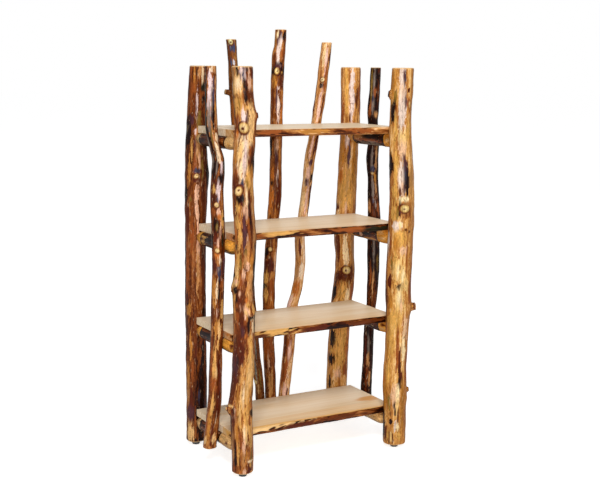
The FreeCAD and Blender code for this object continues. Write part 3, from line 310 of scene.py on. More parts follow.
        (1688, -7, 58, 13, PURPLE), (1630, 81, 39, 20, ORANGE), (1659, -61, 87, 23, BROWN),
        (1460, 24, 44, 19, PINK_WOOD_AND_HIGHLIGHT), (1465, -76, 59, 27, NEAR_BLACK), (1397, 15, 44, 24, PURPLE),
        (1328, -48, 39, 20, ORANGE), (1282, -52, 12, 27, NEAR_BLACK), (1309, 31, 49, 20, LILAC_STREAK_AND_HIGHLIGHT),
        (1215, -58, 60, 44, ORANGE), (1230, 52, 79, 29, MAROON), (940, -67, 25, 26, NEAR_BLACK),
        (875, 6, 35, 83, MAROON), (910, 75, 51, 17, PINK_WOOD_AND_HIGHLIGHT), (809, -52, 30, 37, GOLD),
        (769, -67, 13, 37, NEAR_BLACK), (728, -43, 31, 33, GOLD), (759, 43, 61, 27, RUST),
        (605, -5, 62, 59, RUST), (466, -13, 62, 73, RUST), (367, -10, 47, 26, PINK_WOOD_AND_HIGHLIGHT),
        (362, -56, 31, 30, BROWN), (263, 7, 68, 57, TAN), (253, -80, 52, 27, BROWN),
    ],
    "back_pole_right": [
        (1900, -28, 58, 31, PALE_GOLD), (1891, 20, 68, 24, PINK_WOOD_AND_HIGHLIGHT), (1896, 78, 24, 24, BROWN),
        (1900, 88, 58, 14, BROWN), (1758, -13, 15, 43, NEAR_BLACK), (1794, 56, 68, 18, RUST),
        (1657, 3, 78, 31, PINK_WOOD_AND_HIGHLIGHT), (1667, -101, 78, 19, BROWN), (1657, 61, 78, 18, BROWN),
        (1451, -7, 50, 27, PINK_WOOD_AND_HIGHLIGHT), (1461, 62, 69, 27, MAROON), (1376, 19, 20, 42, PURPLE),
        (1332, -2, 35, 32, PINK_WOOD_AND_HIGHLIGHT), (1302, 74, 30, 23, NEAR_BLACK), (1277, -11, 18, 47, PURPLE),
        (1191, -54, 71, 37, PALE_GOLD), (1191, 29, 71, 29, PINK_WOOD_AND_HIGHLIGHT), (1212, 82, 80, 17, MAROON),
        (953, -1, 46, 20, MAROON), (958, -68, 61, 28, TAN), (835, 26, 46, 38, CREAM),
        (825, -38, 46, 27, TAN), (748, -16, 41, 56, ORANGE), (701, 104, 47, 19, NEAR_BLACK),
        (670, -72, 31, 45, PINK_WOOD_AND_HIGHLIGHT), (445, -21, 74, 72, RUST), (424, 15, 42, 27, PINK_WOOD_AND_HIGHLIGHT),
        (429, -70, 84, 18, BROWN), (303, -34, 63, 54, RUST), (212, 4, 38, 50, PINK_WOOD_AND_HIGHLIGHT),
        (207, 49, 32, 15, MAROON),
    ],
    "back_pole_left": [
        (1935, -1, 23, 64, SLATE), (1896, 1, 23, 26, RUST), (1863, 11, 12, 29, LILAC_STREAK_AND_HIGHLIGHT),
        (1868, -35, 19, 21, SLATE), (1905, -69, 56, 26, BROWN), (1736, 8, 76, 41, GREY_BARK_AND_HIGHLIGHT),
        (1641, -47, 66, 40, RUST), (1594, 42, 66, 24, BROWN), (487, -27, 61, 25, OLIVE),
        (451, 18, 61, 14, GREY_BARK_AND_HIGHLIGHT), (349, -29, 62, 21, GREY_BARK_AND_HIGHLIGHT), (307, 37, 62, 17, OLIVE),
        (282, -77, 12, 27, PALE_GOLD), (246, -27, 31, 17, TAN),
    ],
}

# Disc knots: height, place across, radius, how far each stands out, and its eye as a share
# of the radius
KNOTS = {
    "post_front_left": [
        (1.587, -0.14, 0.0205, 0.0040, 0.34),
        (1.313, -0.41, 0.0165, 0.0040, 0.30),
    ],
    "post_front_right": [
        (1.192, 0.26, 0.0165, 0.0030, 0.26),
    ],
    "post_back_left": [
        (1.335, -0.04, 0.009, 0.0030, 0.25),
    ],
    "post_back_right": [
        (0.812, 0.18, 0.018, 0.0030, 0.30),
    ],
    "side_pole_left": [
        (1.236, -0.06, 0.009, 0.0020, 0.30),
        (1.034, -0.13, 0.009, 0.0020, 0.00),
    ],
    "side_pole_right": [
        (1.322, -0.03, 0.006, 0.0020, 0.00),
    ],
    "back_pole_middle": [
        (1.827, -0.14, 0.012, 0.0030, 0.30),
        (0.956, -0.13, 0.009, 0.0020, 0.20),
    ],
    "back_pole_right": [
        (1.787, 0.01, 0.010, 0.0025, 0.30),
    ],
    "back_pole_left": [
        (1.961, -0.17, 0.011, 0.0030, 0.40),
    ],
}


# Waves that repeat the same way each time

def waves(x, y, z, seed, across, along, count=7):
    """A smooth pattern from about -1 to 1 in space, drawn out along z."""
    rng = np.random.default_rng(seed)
    total = 0.0
    for _ in range(count):
        turn, phase = rng.uniform(0, 2 * math.pi, 2)
        tilt = rng.uniform(-1, 1)
        step = 2 * math.pi * rng.uniform(0.7, 1.5)
        level = (x * math.cos(turn) + y * math.sin(turn)) / across + z * tilt / along
        total = total + np.sin(step * level + phase)
    return total / math.sqrt(count) / 1.1


def smooth_along(values, reach):
    """Each column of values, evened out along the log over a reach in rings."""
    span = max(1, int(math.ceil(3 * reach)))
    weights = np.exp(-0.5 * (np.arange(-span, span + 1) / reach) ** 2)
    weights /= weights.sum()
    padded = np.pad(values, ((span, span), (0, 0)), mode="reflect", reflect_type="odd")
    result = np.zeros_like(values)
    for k, weight in enumerate(weights):
        result += weight * padded[k:k + len(values)]
    return result


# Reading a log's shape from its CAD solid

# The axis that a log runs along
LYING = 1
UPRIGHT = 2


def solid_tree(mesh):
    """A search tree of a CAD mesh, for rays."""
    corners = [vertex.co for vertex in mesh.vertices]
    faces = [tuple(polygon.vertices) for polygon in mesh.polygons]
    return BVHTree.FromPolygons(corners, faces)


class Traced:
    """The smooth course of a CAD log: stations along its axis, centres and radii."""

    def __init__(self, node, axis, sides, rim):
        self.axis = axis
        self.u, self.v = (0, 1) if axis == UPRIGHT else (2, 0)
        self.sides = sides
        self.angles = 2 * math.pi * np.arange(sides) / sides
        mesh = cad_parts[node].data
        points = np.array([vertex.co for vertex in mesh.vertices])
        self.low = points[:, axis].min()
        self.high = points[:, axis].max()
        count = int(round((self.high - self.low - 2 * rim) / RING_SPACING)) + 1
        self.stations = np.linspace(self.low + rim, self.high - rim, count)
        self.rim = rim
        self.read(mesh, points)

    def read(self, mesh, points):
        """Rays from outside inwards find the surface, ring by ring."""
        tree = solid_tree(mesh)
        start = points[points[:, self.axis] < self.low + 2 * self.rim]
        centre = np.array([start[:, self.u].mean(), start[:, self.v].mean()])
        usual = 0.5 * (np.ptp(start[:, self.u]) + np.ptp(start[:, self.v])) / 2
        turns = np.stack([np.cos(self.angles), np.sin(self.angles)], axis=1)
        centres = []
        radii = []
        for station in self.stations:
            for _ in range(2):
                found = self.ring(tree, station, centre, turns, usual)
                centre = centre + 2 * (turns * (found - found.mean())[:, None]).mean(axis=0)
            found = self.ring(tree, station, centre, turns, usual)
            usual = np.median(found)
            centres.append(centre)
            radii.append(found)
        spectrum = np.fft.rfft(np.array(radii), axis=1)
        spectrum[:, HARMONICS + 1:] = 0
        radii = np.fft.irfft(spectrum, n=self.sides, axis=1) * ROUNDING_SHARE
        step = self.stations[1] - self.stations[0]
        self.centres = smooth_along(np.array(centres), CENTRE_SMOOTHING / step)
        self.radii = smooth_along(radii, SURFACE_SMOOTHING / step)
        self.mean_radius = float(np.median(self.radii))

    def ring(self, tree, station, centre, turns, usual):
        """The radii of one ring, with holes and long stubs bridged over."""
        reach = 3 * usual
        found = np.full(self.sides, np.nan)
        for k, turn in enumerate(turns):
            origin = [0.0, 0.0, 0.0]
            direction = [0.0, 0.0, 0.0]
            origin[self.axis] = station
            origin[self.u] = centre[0] + turn[0] * reach
            origin[self.v] = centre[1] + turn[1] * reach
            direction[self.u] = -turn[0]
            direction[self.v] = -turn[1]
            hit = tree.ray_cast(Vector(origin), Vector(direction), 2 * reach)
            if hit[0] is not None:
                found[k] = reach - hit[3]
        typical = np.nanmedian(found)
        low, high = TRUSTED_SHARES
        good = (found > low * typical) & (found < high * typical)
        if not good.any():
            return np.full(self.sides, typical)
        places = np.flatnonzero(good)
        return np.interp(np.arange(self.sides), places, found[places], period=self.sides)

    def round_places(self):
        """Coordinates on an even cylinder of the log's usual radius."""
        x = self.mean_radius * np.cos(self.angles)[None, :]
        y = self.mean_radius * np.sin(self.angles)[None, :]
        return x, y, self.stations[:, None]

    def place(self, ring, side):
        """A point on the surface, by ring and side number."""
        point = [0.0, 0.0, 0.0]
        radius = self.radii[ring, side]
        point[self.axis] = self.stations[ring]
        point[self.u] = self.centres[ring, 0] + radius * math.cos(self.angles[side])
        point[self.v] = self.centres[ring, 1] + radius * math.sin(self.angles[side])
        return Vector(point)


# Painting

class Paint:
    """A colour and a cover for each point of a surface."""

    def __init__(self, shape):
        self.colour = np.full(shape + (3,), 0.5)
        self.cover = np.zeros(shape)
        self.weight = np.full(shape, 1e-6)

    def lay(self, colour, near, strength=1.0):
        """Lays a colour where near is positive, with a feathered edge."""
        cover = np.clip(near * 1.3 + 0.5, 0, 1) * strength
        fresh = cover + 1e-3 * np.clip(near + 1.4, 0, 1)
        kept = self.weight * (1 - cover)
        self.weight = kept + fresh
        blended = self.colour * kept[..., None] + np.array(colour) * fresh[..., None]
        self.colour = blended / self.weight[..., None]
        self.cover = self.cover + (1 - self.cover) * cover

    def rgba(self):
        """Four values for each point."""
        return np.concatenate([self.colour, self.cover[..., None]], axis=-1)


def turned(angle):
    """An angle brought between -pi and pi."""
    return (angle + math.pi) % (2 * math.pi) - math.pi


def photo_facing(traced):
    """The direction from a log towards the photograph's side."""
    middle = traced.centres.mean(axis=0)
    return math.atan2(CAMERA_PLACE.y - middle[1], CAMERA_PLACE.x - middle[0])


# How far a mark turns on, in radians for each half width that it runs past the log's outline
OVERRUN_TURN = 1.5


def across_angles(across, half):
    """The middle and half angle of a mark that the photograph shows across a log."""
    edges = []
    for value in (across - half, across + half):
        limited = max(-1.0, min(1.0, value))
        edges.append(math.asin(limited) + (value - limited) * OVERRUN_TURN)
    return (edges[0] + edges[1]) / 2, (edges[1] - edges[0]) / 2


def log_marks(name):
    """The marks of one log, in metres and in shares of its half width."""
    result = []
    for height, across, half_height, half_width, colour in MARKS[name]:
        result.append((height / 1000, across / 100, half_height / 1000, half_width / 100, colour))
    return result


def paint_marks(paint, traced, marks, facing, seed):
    """Lays marks on a log, each a long blot with feathered, pointed ends."""
    x, y, heights = traced.round_places()
    rough = 0.26 * waves(x, y, heights, seed, 0.017, 0.090)
    rough = rough + 0.18 * waves(x, y, heights, seed + 1, 0.008, 0.034)
    for height, across, half_height, half_width, colour in marks:
        middle, half_angle = across_angles(across, half_width)
        sideways = np.abs(turned(traced.angles[None, :] - facing - middle) / half_angle)
        upright = np.abs((heights - height) / half_height)
        size = np.sqrt(sideways ** 2 + upright ** 1.7 + 1e-9)
        paint.lay(colour, 1 - size + rough)


def mirrored_marks(marks, seed):
    """Marks of the same kind for the log's far side, moved and turned about by chance."""
    rng = np.random.default_rng(seed)
    result = []
    for height, across, half_height, half_width, colour in marks:
        moved = height + rng.uniform(-0.12, 0.12)
        result.append((moved, across * rng.uniform(-0.9, -0.5), half_height, half_width, colour))
    return result


# Relief

def knot_relief(traced, knots, facing, paint, seed):
    """Sawn branches: a raised pale disc, part of a dark rim and a small eye off its middle."""
    rng = np.random.default_rng(seed)
    heights = traced.stations[:, None]
    relief = np.zeros((len(traced.stations), traced.sides))
    for height, across, radius, rise, eye in knots:
        middle = math.asin(max(-0.95, min(0.95, across)))
        sideways = turned(traced.angles[None, :] - facing - middle) * traced.mean_radius / radius
        sideways = sideways * math.cos(0.8 * middle)
        upright = 0.9 * (heights - height) / radius
        turn = np.arctan2(upright, sideways)
        phase = rng.uniform(0, 2 * math.pi)
        away = np.sqrt(sideways ** 2 + upright ** 2) * (1 + 0.08 * np.cos(2 * turn + phase))
        relief += rise * np.exp(-(away / 0.95) ** 4)
        relief -= 0.4 * rise * np.exp(-((away - 1.4) / 0.3) ** 2)
        dark_side = 0.5 + 0.5 * np.cos(turn - phase)
        paint.lay(MAROON, 2.2 * (0.44 - np.abs(away - 1.2)) - 0.9 * (1 - dark_side))
        paint.lay(AMBER, 2.4 * (1.05 - away))
        paint.lay(KNOT_YELLOW, 2.0 * (0.92 - away))
        paint.lay(CREAM, 1.2 * (0.60 - away), 0.6)
        if eye > 0:
            off = np.hypot(sideways - 0.25 * math.cos(phase), upright - 0.25 * math.sin(phase))
            relief -= 0.5 * rise * np.exp(-(off / eye) ** 2)
            paint.lay(MAROON, 1.6 * (eye - off) / eye)
    return relief


def swell_relief(traced, swellings):
    """Smooth bulges: how far each stands out, with its own reach up, down and around."""
    heights = traced.stations[:, None]
    relief = np.zeros((len(traced.stations), traced.sides))
    for height, facing, rise, reach_up, reach_down, reach_around in swellings:
        above = heights - height
        upright = np.where(above > 0, above / reach_up, above / reach_down)
        around = turned(traced.angles[None, :] - math.radians(facing)) / math.radians(reach_around)
        relief += rise * np.exp(-np.abs(upright) ** 1.5) * np.exp(-around ** 2)
    return relief


def log_relief(traced, seed, flutes, lumps, ripple):
    """The unevenness of a peeled log: long flutes, lumps and a fine ripple, in metres."""
    x, y, heights = traced.round_places()
    rng = np.random.default_rng(seed)
    relief = np.zeros((len(traced.stations), traced.sides))
    for k in (2, 3, 4, 5):
        phase = rng.uniform(0, 2 * math.pi)
        turn = rng.uniform(-2.0, 2.0)
        swell = 0.6 + 0.4 * np.sin(2 * math.pi * heights / rng.uniform(0.35, 0.8) + phase)
        relief += flutes / k * swell * np.cos(k * traced.angles[None, :] + turn * heights + phase)
    relief += lumps * waves(x, y, heights, seed + 2, 0.070, 0.110)
    relief += lumps * 0.6 * waves(x, y, heights, seed + 3, 0.035, 0.070)
    relief += ripple * waves(x, y, heights, seed + 4, 0.012, 0.040)
    return relief


# Meshes

def new_object(name, mesh, material):
    """An object of the part, riding on the frame's one body."""
    mesh.materials.append(material)
    obj = bpy.data.objects.new(name, mesh)
    bpy.context.scene.collection.objects.link(obj)
    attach(obj, "root")
    return obj


def shade_smooth(mesh):
    """Smooth shading on every face."""
    mesh.polygons.foreach_set("use_smooth", [True] * len(mesh.polygons))


class Skin:
    """Rows of points joined into one closed skin, with what the material reads at each point."""

    def __init__(self):
        self.points = []
        self.grain = []
        self.paint = []
        self.ends = []
        self.faces = []

    def add_rows(self, rows, grain, paint, ends):
        """Adds rings of points, each joined to the one before, closed at both ends."""
        base = len(self.points)
        count, sides = rows.shape[0], rows.shape[1]
        self.points.extend(rows.reshape(-1, 3).tolist())
        self.grain.extend(grain.reshape(-1, 3).tolist())
        self.paint.extend(paint.reshape(-1, 4).tolist())
        self.ends.extend(ends.reshape(-1).tolist())
        for i in range(count - 1):
            for k in range(sides):
                after = (k + 1) % sides
                self.faces.append((
                    base + i * sides + k,
                    base + i * sides + after,
                    base + (i + 1) * sides + after,
                    base + (i + 1) * sides + k,
                ))
        self.faces.append(tuple(base + k for k in reversed(range(sides))))
        self.faces.append(tuple(base + (count - 1) * sides + k for k in range(sides)))

    def mesh(self, name):
        """The finished mesh."""
        mesh = bpy.data.meshes.new(name)
        mesh.from_pydata(self.points, [], self.faces)
        for label, kind, values in (
            ("grain", "FLOAT_VECTOR", self.grain),
            ("paint", "FLOAT_COLOR", self.paint),
            ("ends", "FLOAT", self.ends),
        ):
            attribute = mesh.attributes.new(label, kind, "POINT")
            key = {"FLOAT_VECTOR": "vector", "FLOAT_COLOR": "color", "FLOAT": "value"}[kind]
            attribute.data.foreach_set(key, np.array(values, np.float32).ravel())
        shade_smooth(mesh)
        mesh.validate()
        return mesh


# A sanded rim from the sawn face outwards: place along the log and inset, as shares of the rim,
# then how much of the ring counts as end grain
RIM_SHARES = [
    (0.00, 1.00, 1.0),
    (0.10, 0.56, 0.9),
    (0.35, 0.22, 0.7),
    (0.70, 0.05, 0.4),
]
CAP_SHARES = [0.02, 0.30, 0.60, 0.85]


def log_rows(traced, relief, paint, seed):
    """Every ring of a log from its foot's middle to its head's middle."""
    rng = np.random.default_rng(seed)
    offset = rng.uniform(-3, 3, 3)
    turns = np.stack([np.cos(traced.angles), np.sin(traced.angles)], axis=1)
    radii = traced.radii + relief
    rgba = paint.rgba()
    rows = []
    for station, centre, radius, colour in zip(traced.stations, traced.centres, radii, rgba):
        rows.append((station, centre, radius, colour, 0.0))
    for end, sign, face in ((0, -1, traced.low), (-1, 1, traced.high)):
        centre, radius, colour = traced.centres[end], radii[end], rgba[end]
        rim = []
        for along, inset, end_share in reversed(RIM_SHARES):
            station = face - sign * traced.rim * along
            rim.append((station, centre, radius - traced.rim * inset, colour, end_share))
        for share in reversed(CAP_SHARES):
            rim.append((face, centre, (radius - traced.rim) * share, colour, 1.0))
        rows = list(reversed(rim)) + rows if end == 0 else rows + rim
    points = np.zeros((len(rows), traced.sides, 3))
    grain = np.zeros((len(rows), traced.sides, 3))
    colours = np.zeros((len(rows), traced.sides, 4))
    ends = np.zeros((len(rows), traced.sides))
    for i, (station, centre, radius, colour, end_share) in enumerate(rows):
        points[i, :, traced.axis] = station
        points[i, :, traced.u] = centre[0] + radius * turns[:, 0]
        points[i, :, traced.v] = centre[1] + radius * turns[:, 1]
        grain[i, :, 0] = radius * turns[:, 0] + offset[0]
        grain[i, :, 1] = radius * turns[:, 1] + offset[1]
        grain[i, :, 2] = station + offset[2]
        colours[i] = colour
        ends[i] = end_share
    return points, grain, colours, ends


# Materials

class Nodes:
    """A short way to build a node tree."""

    def __init__(self, tree):
        self.tree = tree

    def make(self, kind, settings=None, **inputs):
        """A node with settings and inputs. An input is named, or numbered as i0, i1 and so on."""
        node = self.tree.nodes.new(kind)
        for key, value in (settings or {}).items():
            setattr(node, key, value)
        for key, value in inputs.items():
            numbered = key[0] == "i" and key[1:].isdigit()
            self.feed(node.inputs[int(key[1:]) if numbered else key], value)
        return node

    def feed(self, socket, value):
        """Sets a socket, or links it to another node's output."""
        if isinstance(value, bpy.types.NodeSocket):
            self.tree.links.new(value, socket)
        else:
            socket.default_value = value

    def attribute(self, name):
        """An attribute node of the mesh."""
        return self.make("ShaderNodeAttribute", {"attribute_name": name})

    def stretched(self, vector, across, along, axis=2):
        """A coordinate scaled across and along the grain."""
        scale = [across] * 3
        scale[axis] = along
        return self.make("ShaderNodeMapping", None, Vector=vector, Scale=scale).outputs[0]

    def noise(self, vector, scale=1.0, detail=3.0, roughness=0.55, distortion=0.0):
        """Noise between 0 and 1."""
        node = self.make("ShaderNodeTexNoise", None, Vector=vector, Scale=scale, Detail=detail,
                         Roughness=roughness, Distortion=distortion)
        return node.outputs[0]

    def math(self, operation, a, b=0.0):
        """One arithmetic step."""
        node = self.make("ShaderNodeMath", {"operation": operation}, i0=a, i1=b)
        return node.outputs[0]

    def blend(self, a, share, b):
        """Two values added, a by its share and b by the rest."""
        return self.math("ADD", self.math("MULTIPLY", a, share), self.math("MULTIPLY", b, 1 - share))

    def span(self, value, low, high, to_low=0.0, to_high=1.0, smooth=True):
        """A value moved from one span to another, and held inside it."""
        kind = "SMOOTHSTEP" if smooth else "LINEAR"
        node = self.make("ShaderNodeMapRange", {"interpolation_type": kind}, i0=value, i1=low, i2=high,
                         i3=to_low, i4=to_high)
        return node.outputs[0]

    def ramp(self, value, stops):
        """Colours along a value."""
        node = self.make("ShaderNodeValToRGB", None, i0=value)
        elements = node.color_ramp.elements
        while len(elements) < len(stops):
            elements.new(0.5)
        for element, (place, colour) in zip(elements, stops):
            element.position = place
            element.color = tuple(colour) + (1.0,)
        return node.outputs[0]

    def mix(self, share, a, b, blend="MIX"):
        """Two colours mixed."""
        node = self.tree.nodes.new("ShaderNodeMix")
        node.data_type = "RGBA"
        node.blend_type = blend
        self.feed(node.inputs[0], share)
        for socket, value in ((node.inputs[6], a), (node.inputs[7], b)):
            self.feed(socket, tuple(value) + (1.0,) if isinstance(value, tuple) else value)
        return node.outputs[2]

    def scaled(self, colour, factor):
        """A colour made lighter or darker."""
        node = self.make("ShaderNodeVectorMath", {"operation": "SCALE"}, i0=colour, Scale=factor)
        return node.outputs[0]

    def product(self, colour, factors):
        """A colour with its red, green and blue turned up or down."""
        node = self.make("ShaderNodeVectorMath", {"operation": "MULTIPLY"}, i0=colour, i1=factors)
        return node.outputs[0]

    def bump(self, height, strength, distance):
        """A bump in metres of height."""
        node = self.make("ShaderNodeBump", None, Height=height, Strength=strength, Distance=distance)
        return node.outputs[0]

    def facing(self):
        """From 0 where the surface faces the eye to 1 at its outline."""
        return self.make("ShaderNodeLayerWeight", None, Blend=0.5).outputs["Facing"]

    def position(self):
        """The place in the scene."""
        return self.make("ShaderNodeNewGeometry").outputs["Position"]


class Surface(Nodes):
    """The node tree of a material with one principled shader."""

    def __init__(self, name):
        self.material = bpy.data.materials.new(name)
        self.material.use_nodes = True
        super().__init__(self.material.node_tree)
        self.shader = self.tree.nodes["Principled BSDF"]

    def put(self, socket, value):
        """Sets or links one socket of the shader."""
        self.feed(self.shader.inputs[socket], value)


COAT_ROUGHNESS = 0.14
COAT_IOR = 1.4
WOOD_SPECULAR = 0.04
# Roughness under the clear coat, and how strong the coat is
LOG_FINISH = (0.36, 0.12)
BOARD_FINISH = (0.38, 0.15)
EDGE_FINISH = (0.38, 0.20)


def lacquer(nodes, roughness, coat):
    """The clear coat over wood, thinner to the eye where the surface turns away."""
    nodes.put("Coat Weight", nodes.span(nodes.facing(), 0.15, 0.75, coat, 0.0))
    nodes.put("Coat Roughness", COAT_ROUGHNESS)
    nodes.put("Coat IOR", COAT_IOR)
    nodes.put("Roughness", roughness)
    nodes.put("Specular IOR Level", WOOD_SPECULAR)


# Patterns of the peeled wood, as repeats for each metre across and along the grain
PATCH_GRAIN = (24, 2.6)
STREAK_GRAIN = (70, 4.5)
FIBRE_GRAIN = (330, 14)
FLECK_GRAIN = (130, 45)
MOTTLE_GRAIN = (150, 55)
GLINT_GRAIN = (170, 26)
# Painted shade: how much darker the wood's colour is made towards its outline, where the light falls off
RIM_POWER = 2.2
RIM_PAINTED_SHADE = 0.26


def peeled_wood(name, middle, reach, tint):
    """Skip-peeled, clear-coated wood: inner bark in streaks and patches over pale wood."""
    nodes = Surface(name)
    grain = nodes.attribute("grain").outputs["Vector"]
    paint = nodes.attribute("paint")
    ends = nodes.attribute("ends").outputs["Fac"]
    patches = nodes.noise(nodes.stretched(grain, *PATCH_GRAIN), detail=3, distortion=0.5)
    streaks = nodes.noise(nodes.stretched(grain, *STREAK_GRAIN), detail=4, roughness=0.62, distortion=0.35)
    fibres = nodes.noise(nodes.stretched(grain, *FIBRE_GRAIN), detail=3, roughness=0.6)
    flecks = nodes.noise(nodes.stretched(grain, *FLECK_GRAIN), detail=2)
    mottle = nodes.noise(nodes.stretched(grain, *MOTTLE_GRAIN), detail=3, roughness=0.6, distortion=0.8)
    glints = nodes.noise(nodes.stretched(grain, *GLINT_GRAIN), detail=2, distortion=0.4)
    # Painted shade: rim grows from 0 where the log faces the eye to 1 at its outline, and darkens the
    # colour there
    rim = nodes.math("POWER", nodes.facing(), RIM_POWER)
    tone = nodes.span(patches, 0.32, 0.68, middle - 0.6 * reach, middle + 0.6 * reach)
    tone = nodes.math("ADD", tone, nodes.span(streaks, 0.32, 0.68, -0.55 * reach, 0.55 * reach))
    tone = nodes.math("ADD", tone, nodes.span(fibres, 0.3, 0.7, -0.05, 0.05))
    tone = nodes.math("ADD", tone, nodes.span(mottle, 0.32, 0.68, -0.08, 0.07))
    tone = nodes.math("SUBTRACT", tone, nodes.math("MULTIPLY", rim, RIM_PAINTED_SHADE))
    colour = nodes.ramp(tone, WOOD)
    shade = nodes.span(streaks, 0.3, 0.7, 0.74, 1.16)
    shade = nodes.math("MULTIPLY", shade, nodes.span(fibres, 0.3, 0.7, 0.90, 1.08))
    shade = nodes.math("MULTIPLY", shade, nodes.span(mottle, 0.34, 0.66, 0.80, 1.16))
    # Painted shade on the marks too: their colour is nearly halved at the outline
    shade = nodes.math("MULTIPLY", shade, nodes.span(rim, 0.0, 1.0, 1.0, 0.45, smooth=False))
    stained = nodes.scaled(paint.outputs["Color"], shade)
    edge = nodes.math("ADD", paint.outputs["Alpha"], nodes.span(streaks, 0.3, 0.7, -0.26, 0.26))
    edge = nodes.math("ADD", edge, nodes.span(mottle, 0.32, 0.68, -0.22, 0.22))
    cover = nodes.span(edge, 0.34, 0.58)
    colour = nodes.mix(cover, colour, stained)
    outline = nodes.math("ABSOLUTE", nodes.math("SUBTRACT", patches, 0.47))
    colour = nodes.mix(nodes.span(outline, 0.002, 0.010, 0.55, 0.0), colour, BROWN, "MULTIPLY")
    colour = nodes.mix(nodes.span(flecks, 0.66, 0.71, 0.0, 0.7), colour, BROWN)
    colour = nodes.mix(nodes.span(glints, 0.64, 0.72, 0.0, 0.38), colour, CREAM)
    colour = nodes.product(colour, tint)
    colour = nodes.mix(nodes.math("MULTIPLY", ends, 0.92), colour, end_grain(nodes, grain))
    nodes.put("Base Color", colour)
    lacquer(nodes, *LOG_FINISH)
    nodes.put("Normal", nodes.bump(nodes.blend(streaks, 0.7, fibres), 0.5, 0.0014))
    return nodes.material


def end_grain(nodes, grain):
    """Growth rings and mottling on a sawn end."""
    settings = {"wave_type": "RINGS", "rings_direction": "Z"}
    rings = nodes.make("ShaderNodeTexWave", settings, Vector=grain, Scale=90.0, Distortion=1.2, Detail=2.0)
    mottled = nodes.noise(nodes.stretched(grain, 1.0, 0.0), scale=60.0, detail=3)
    tone = nodes.blend(rings.outputs[1], 0.25, mottled)
    return nodes.ramp(tone, [(0.25, TAN), (0.45, PALE_GOLD), (0.8, CREAM)])


BOARD_PALE = srgb(242, 222, 194)
BOARD_MIDDLE = srgb(234, 208, 172)
BOARD_WARM = srgb(216, 184, 140)
HEART_ORANGE = srgb(214, 150, 80)
EDGE_YELLOW = srgb(248, 214, 150)


def board_colour(nodes, place, end_dark, end_pale):
    """Pale sanded board: long, quiet grain, and end grain on its ends."""
    broad = nodes.noise(nodes.stretched(place, 8, 1.2, 0), detail=3, distortion=0.6)
    lines = nodes.noise(nodes.stretched(place, 85, 2.2, 0), detail=4, roughness=0.6, distortion=0.3)
    fibres = nodes.noise(nodes.stretched(place, 600, 14, 0), detail=2)
    tone = nodes.blend(broad, 0.6, lines)
    colour = nodes.ramp(tone, [(0.30, BOARD_WARM), (0.45, BOARD_MIDDLE), (0.62, BOARD_PALE)])
    colour = nodes.mix(nodes.span(fibres, 0.5, 0.8, 0.0, 0.16), colour, BOARD_WARM, "MULTIPLY")
    normal = nodes.make("ShaderNodeNewGeometry").outputs["True Normal"]
    across = nodes.make("ShaderNodeSeparateXYZ", None, Vector=normal).outputs[0]
    is_end = nodes.span(nodes.math("ABSOLUTE", across), 0.7, 0.9)
    pores = nodes.noise(nodes.stretched(place, 240, 60, 2), detail=3)
    end = nodes.ramp(pores, [(0.38, end_dark), (0.62, end_pale)])
    return nodes.mix(is_end, colour, end), lines


def board_wood(name, seed, heart=None):
    """A board with a satin coat, and perhaps one patch of orange heartwood."""
    nodes = Surface(name)
    place = nodes.position()
    moved = nodes.make("ShaderNodeMapping", None, Vector=place,
                       Location=(0.37 * seed, 1.31 * seed, 0.73 * seed)).outputs[0]
    colour, lines = board_colour(nodes, moved, BOARD_WARM, BOARD_PALE)
    if heart:
        x, y, half_long, half_wide = heart
        spread = nodes.make("ShaderNodeMapping", None, Vector=place,
                            Location=(-x / half_long, -y / half_wide, 0.0),
                            Scale=(1 / half_long, 1 / half_wide, 0.0)).outputs[0]
        away = nodes.make("ShaderNodeVectorMath", {"operation": "LENGTH"}, i0=spread).outputs["Value"]
        away = nodes.math("ADD", away, nodes.span(lines, 0.3, 0.7, -0.4, 0.4))
        colour = nodes.mix(nodes.span(away, 0.7, 1.2, 0.85, 0.0), colour, HEART_ORANGE)
    nodes.put("Base Color", colour)
    lacquer(nodes, *BOARD_FINISH)
    nodes.put("Normal", nodes.bump(lines, 0.2, 0.0004))
    return nodes.material


def live_edge_wood(name, middle, warmth, end_colour):
    """The front board: board wood on top, inner bark on the live edge."""
    nodes = Surface(name)
    grain = nodes.attribute("grain").outputs["Vector"]
    paint = nodes.attribute("paint")
    ends = nodes.attribute("ends").outputs["Fac"]
    board, lines = board_colour(nodes, grain, end_colour, BOARD_WARM)
    board = nodes.mix(nodes.span(ends, 0.0, 0.45, 0.35 * warmth, warmth), board, EDGE_YELLOW, "MULTIPLY")
    patches = nodes.noise(nodes.stretched(grain, 34, 7, 0), detail=4, distortion=0.6)
    streaks = nodes.noise(nodes.stretched(grain, 120, 14, 0), detail=4, roughness=0.6, distortion=0.5)
    tone = nodes.math("ADD", nodes.span(patches, 0.33, 0.67, middle - 0.26, middle + 0.26),
                      nodes.span(streaks, 0.33, 0.67, -0.16, 0.16))
    bark = nodes.ramp(tone, WOOD)
    shift = nodes.span(streaks, 0.3, 0.7, -0.25, 0.25)
    cover = nodes.span(nodes.math("ADD", paint.outputs["Alpha"], shift), 0.36, 0.62)
    stained = nodes.scaled(paint.outputs["Color"], nodes.span(streaks, 0.3, 0.7, 0.7, 1.15))
    bark = nodes.mix(cover, bark, stained)
    edge = nodes.span(nodes.math("ADD", ends, nodes.math("MULTIPLY", shift, 0.5)), 0.50, 0.66)
    nodes.put("Base Color", nodes.mix(edge, board, bark))
    lacquer(nodes, *EDGE_FINISH)
    nodes.put("Normal", nodes.bump(nodes.blend(streaks, 0.7, lines), 0.35, 0.0010))
    return nodes.material


# Colours in linear light
PLASTIC_BLACK = (0.012, 0.012, 0.012)
PLASTIC_GREY = (0.03, 0.03, 0.03)
ZINC_DARK = (0.45, 0.44, 0.40)
ZINC_PALE = (0.62, 0.60, 0.55)


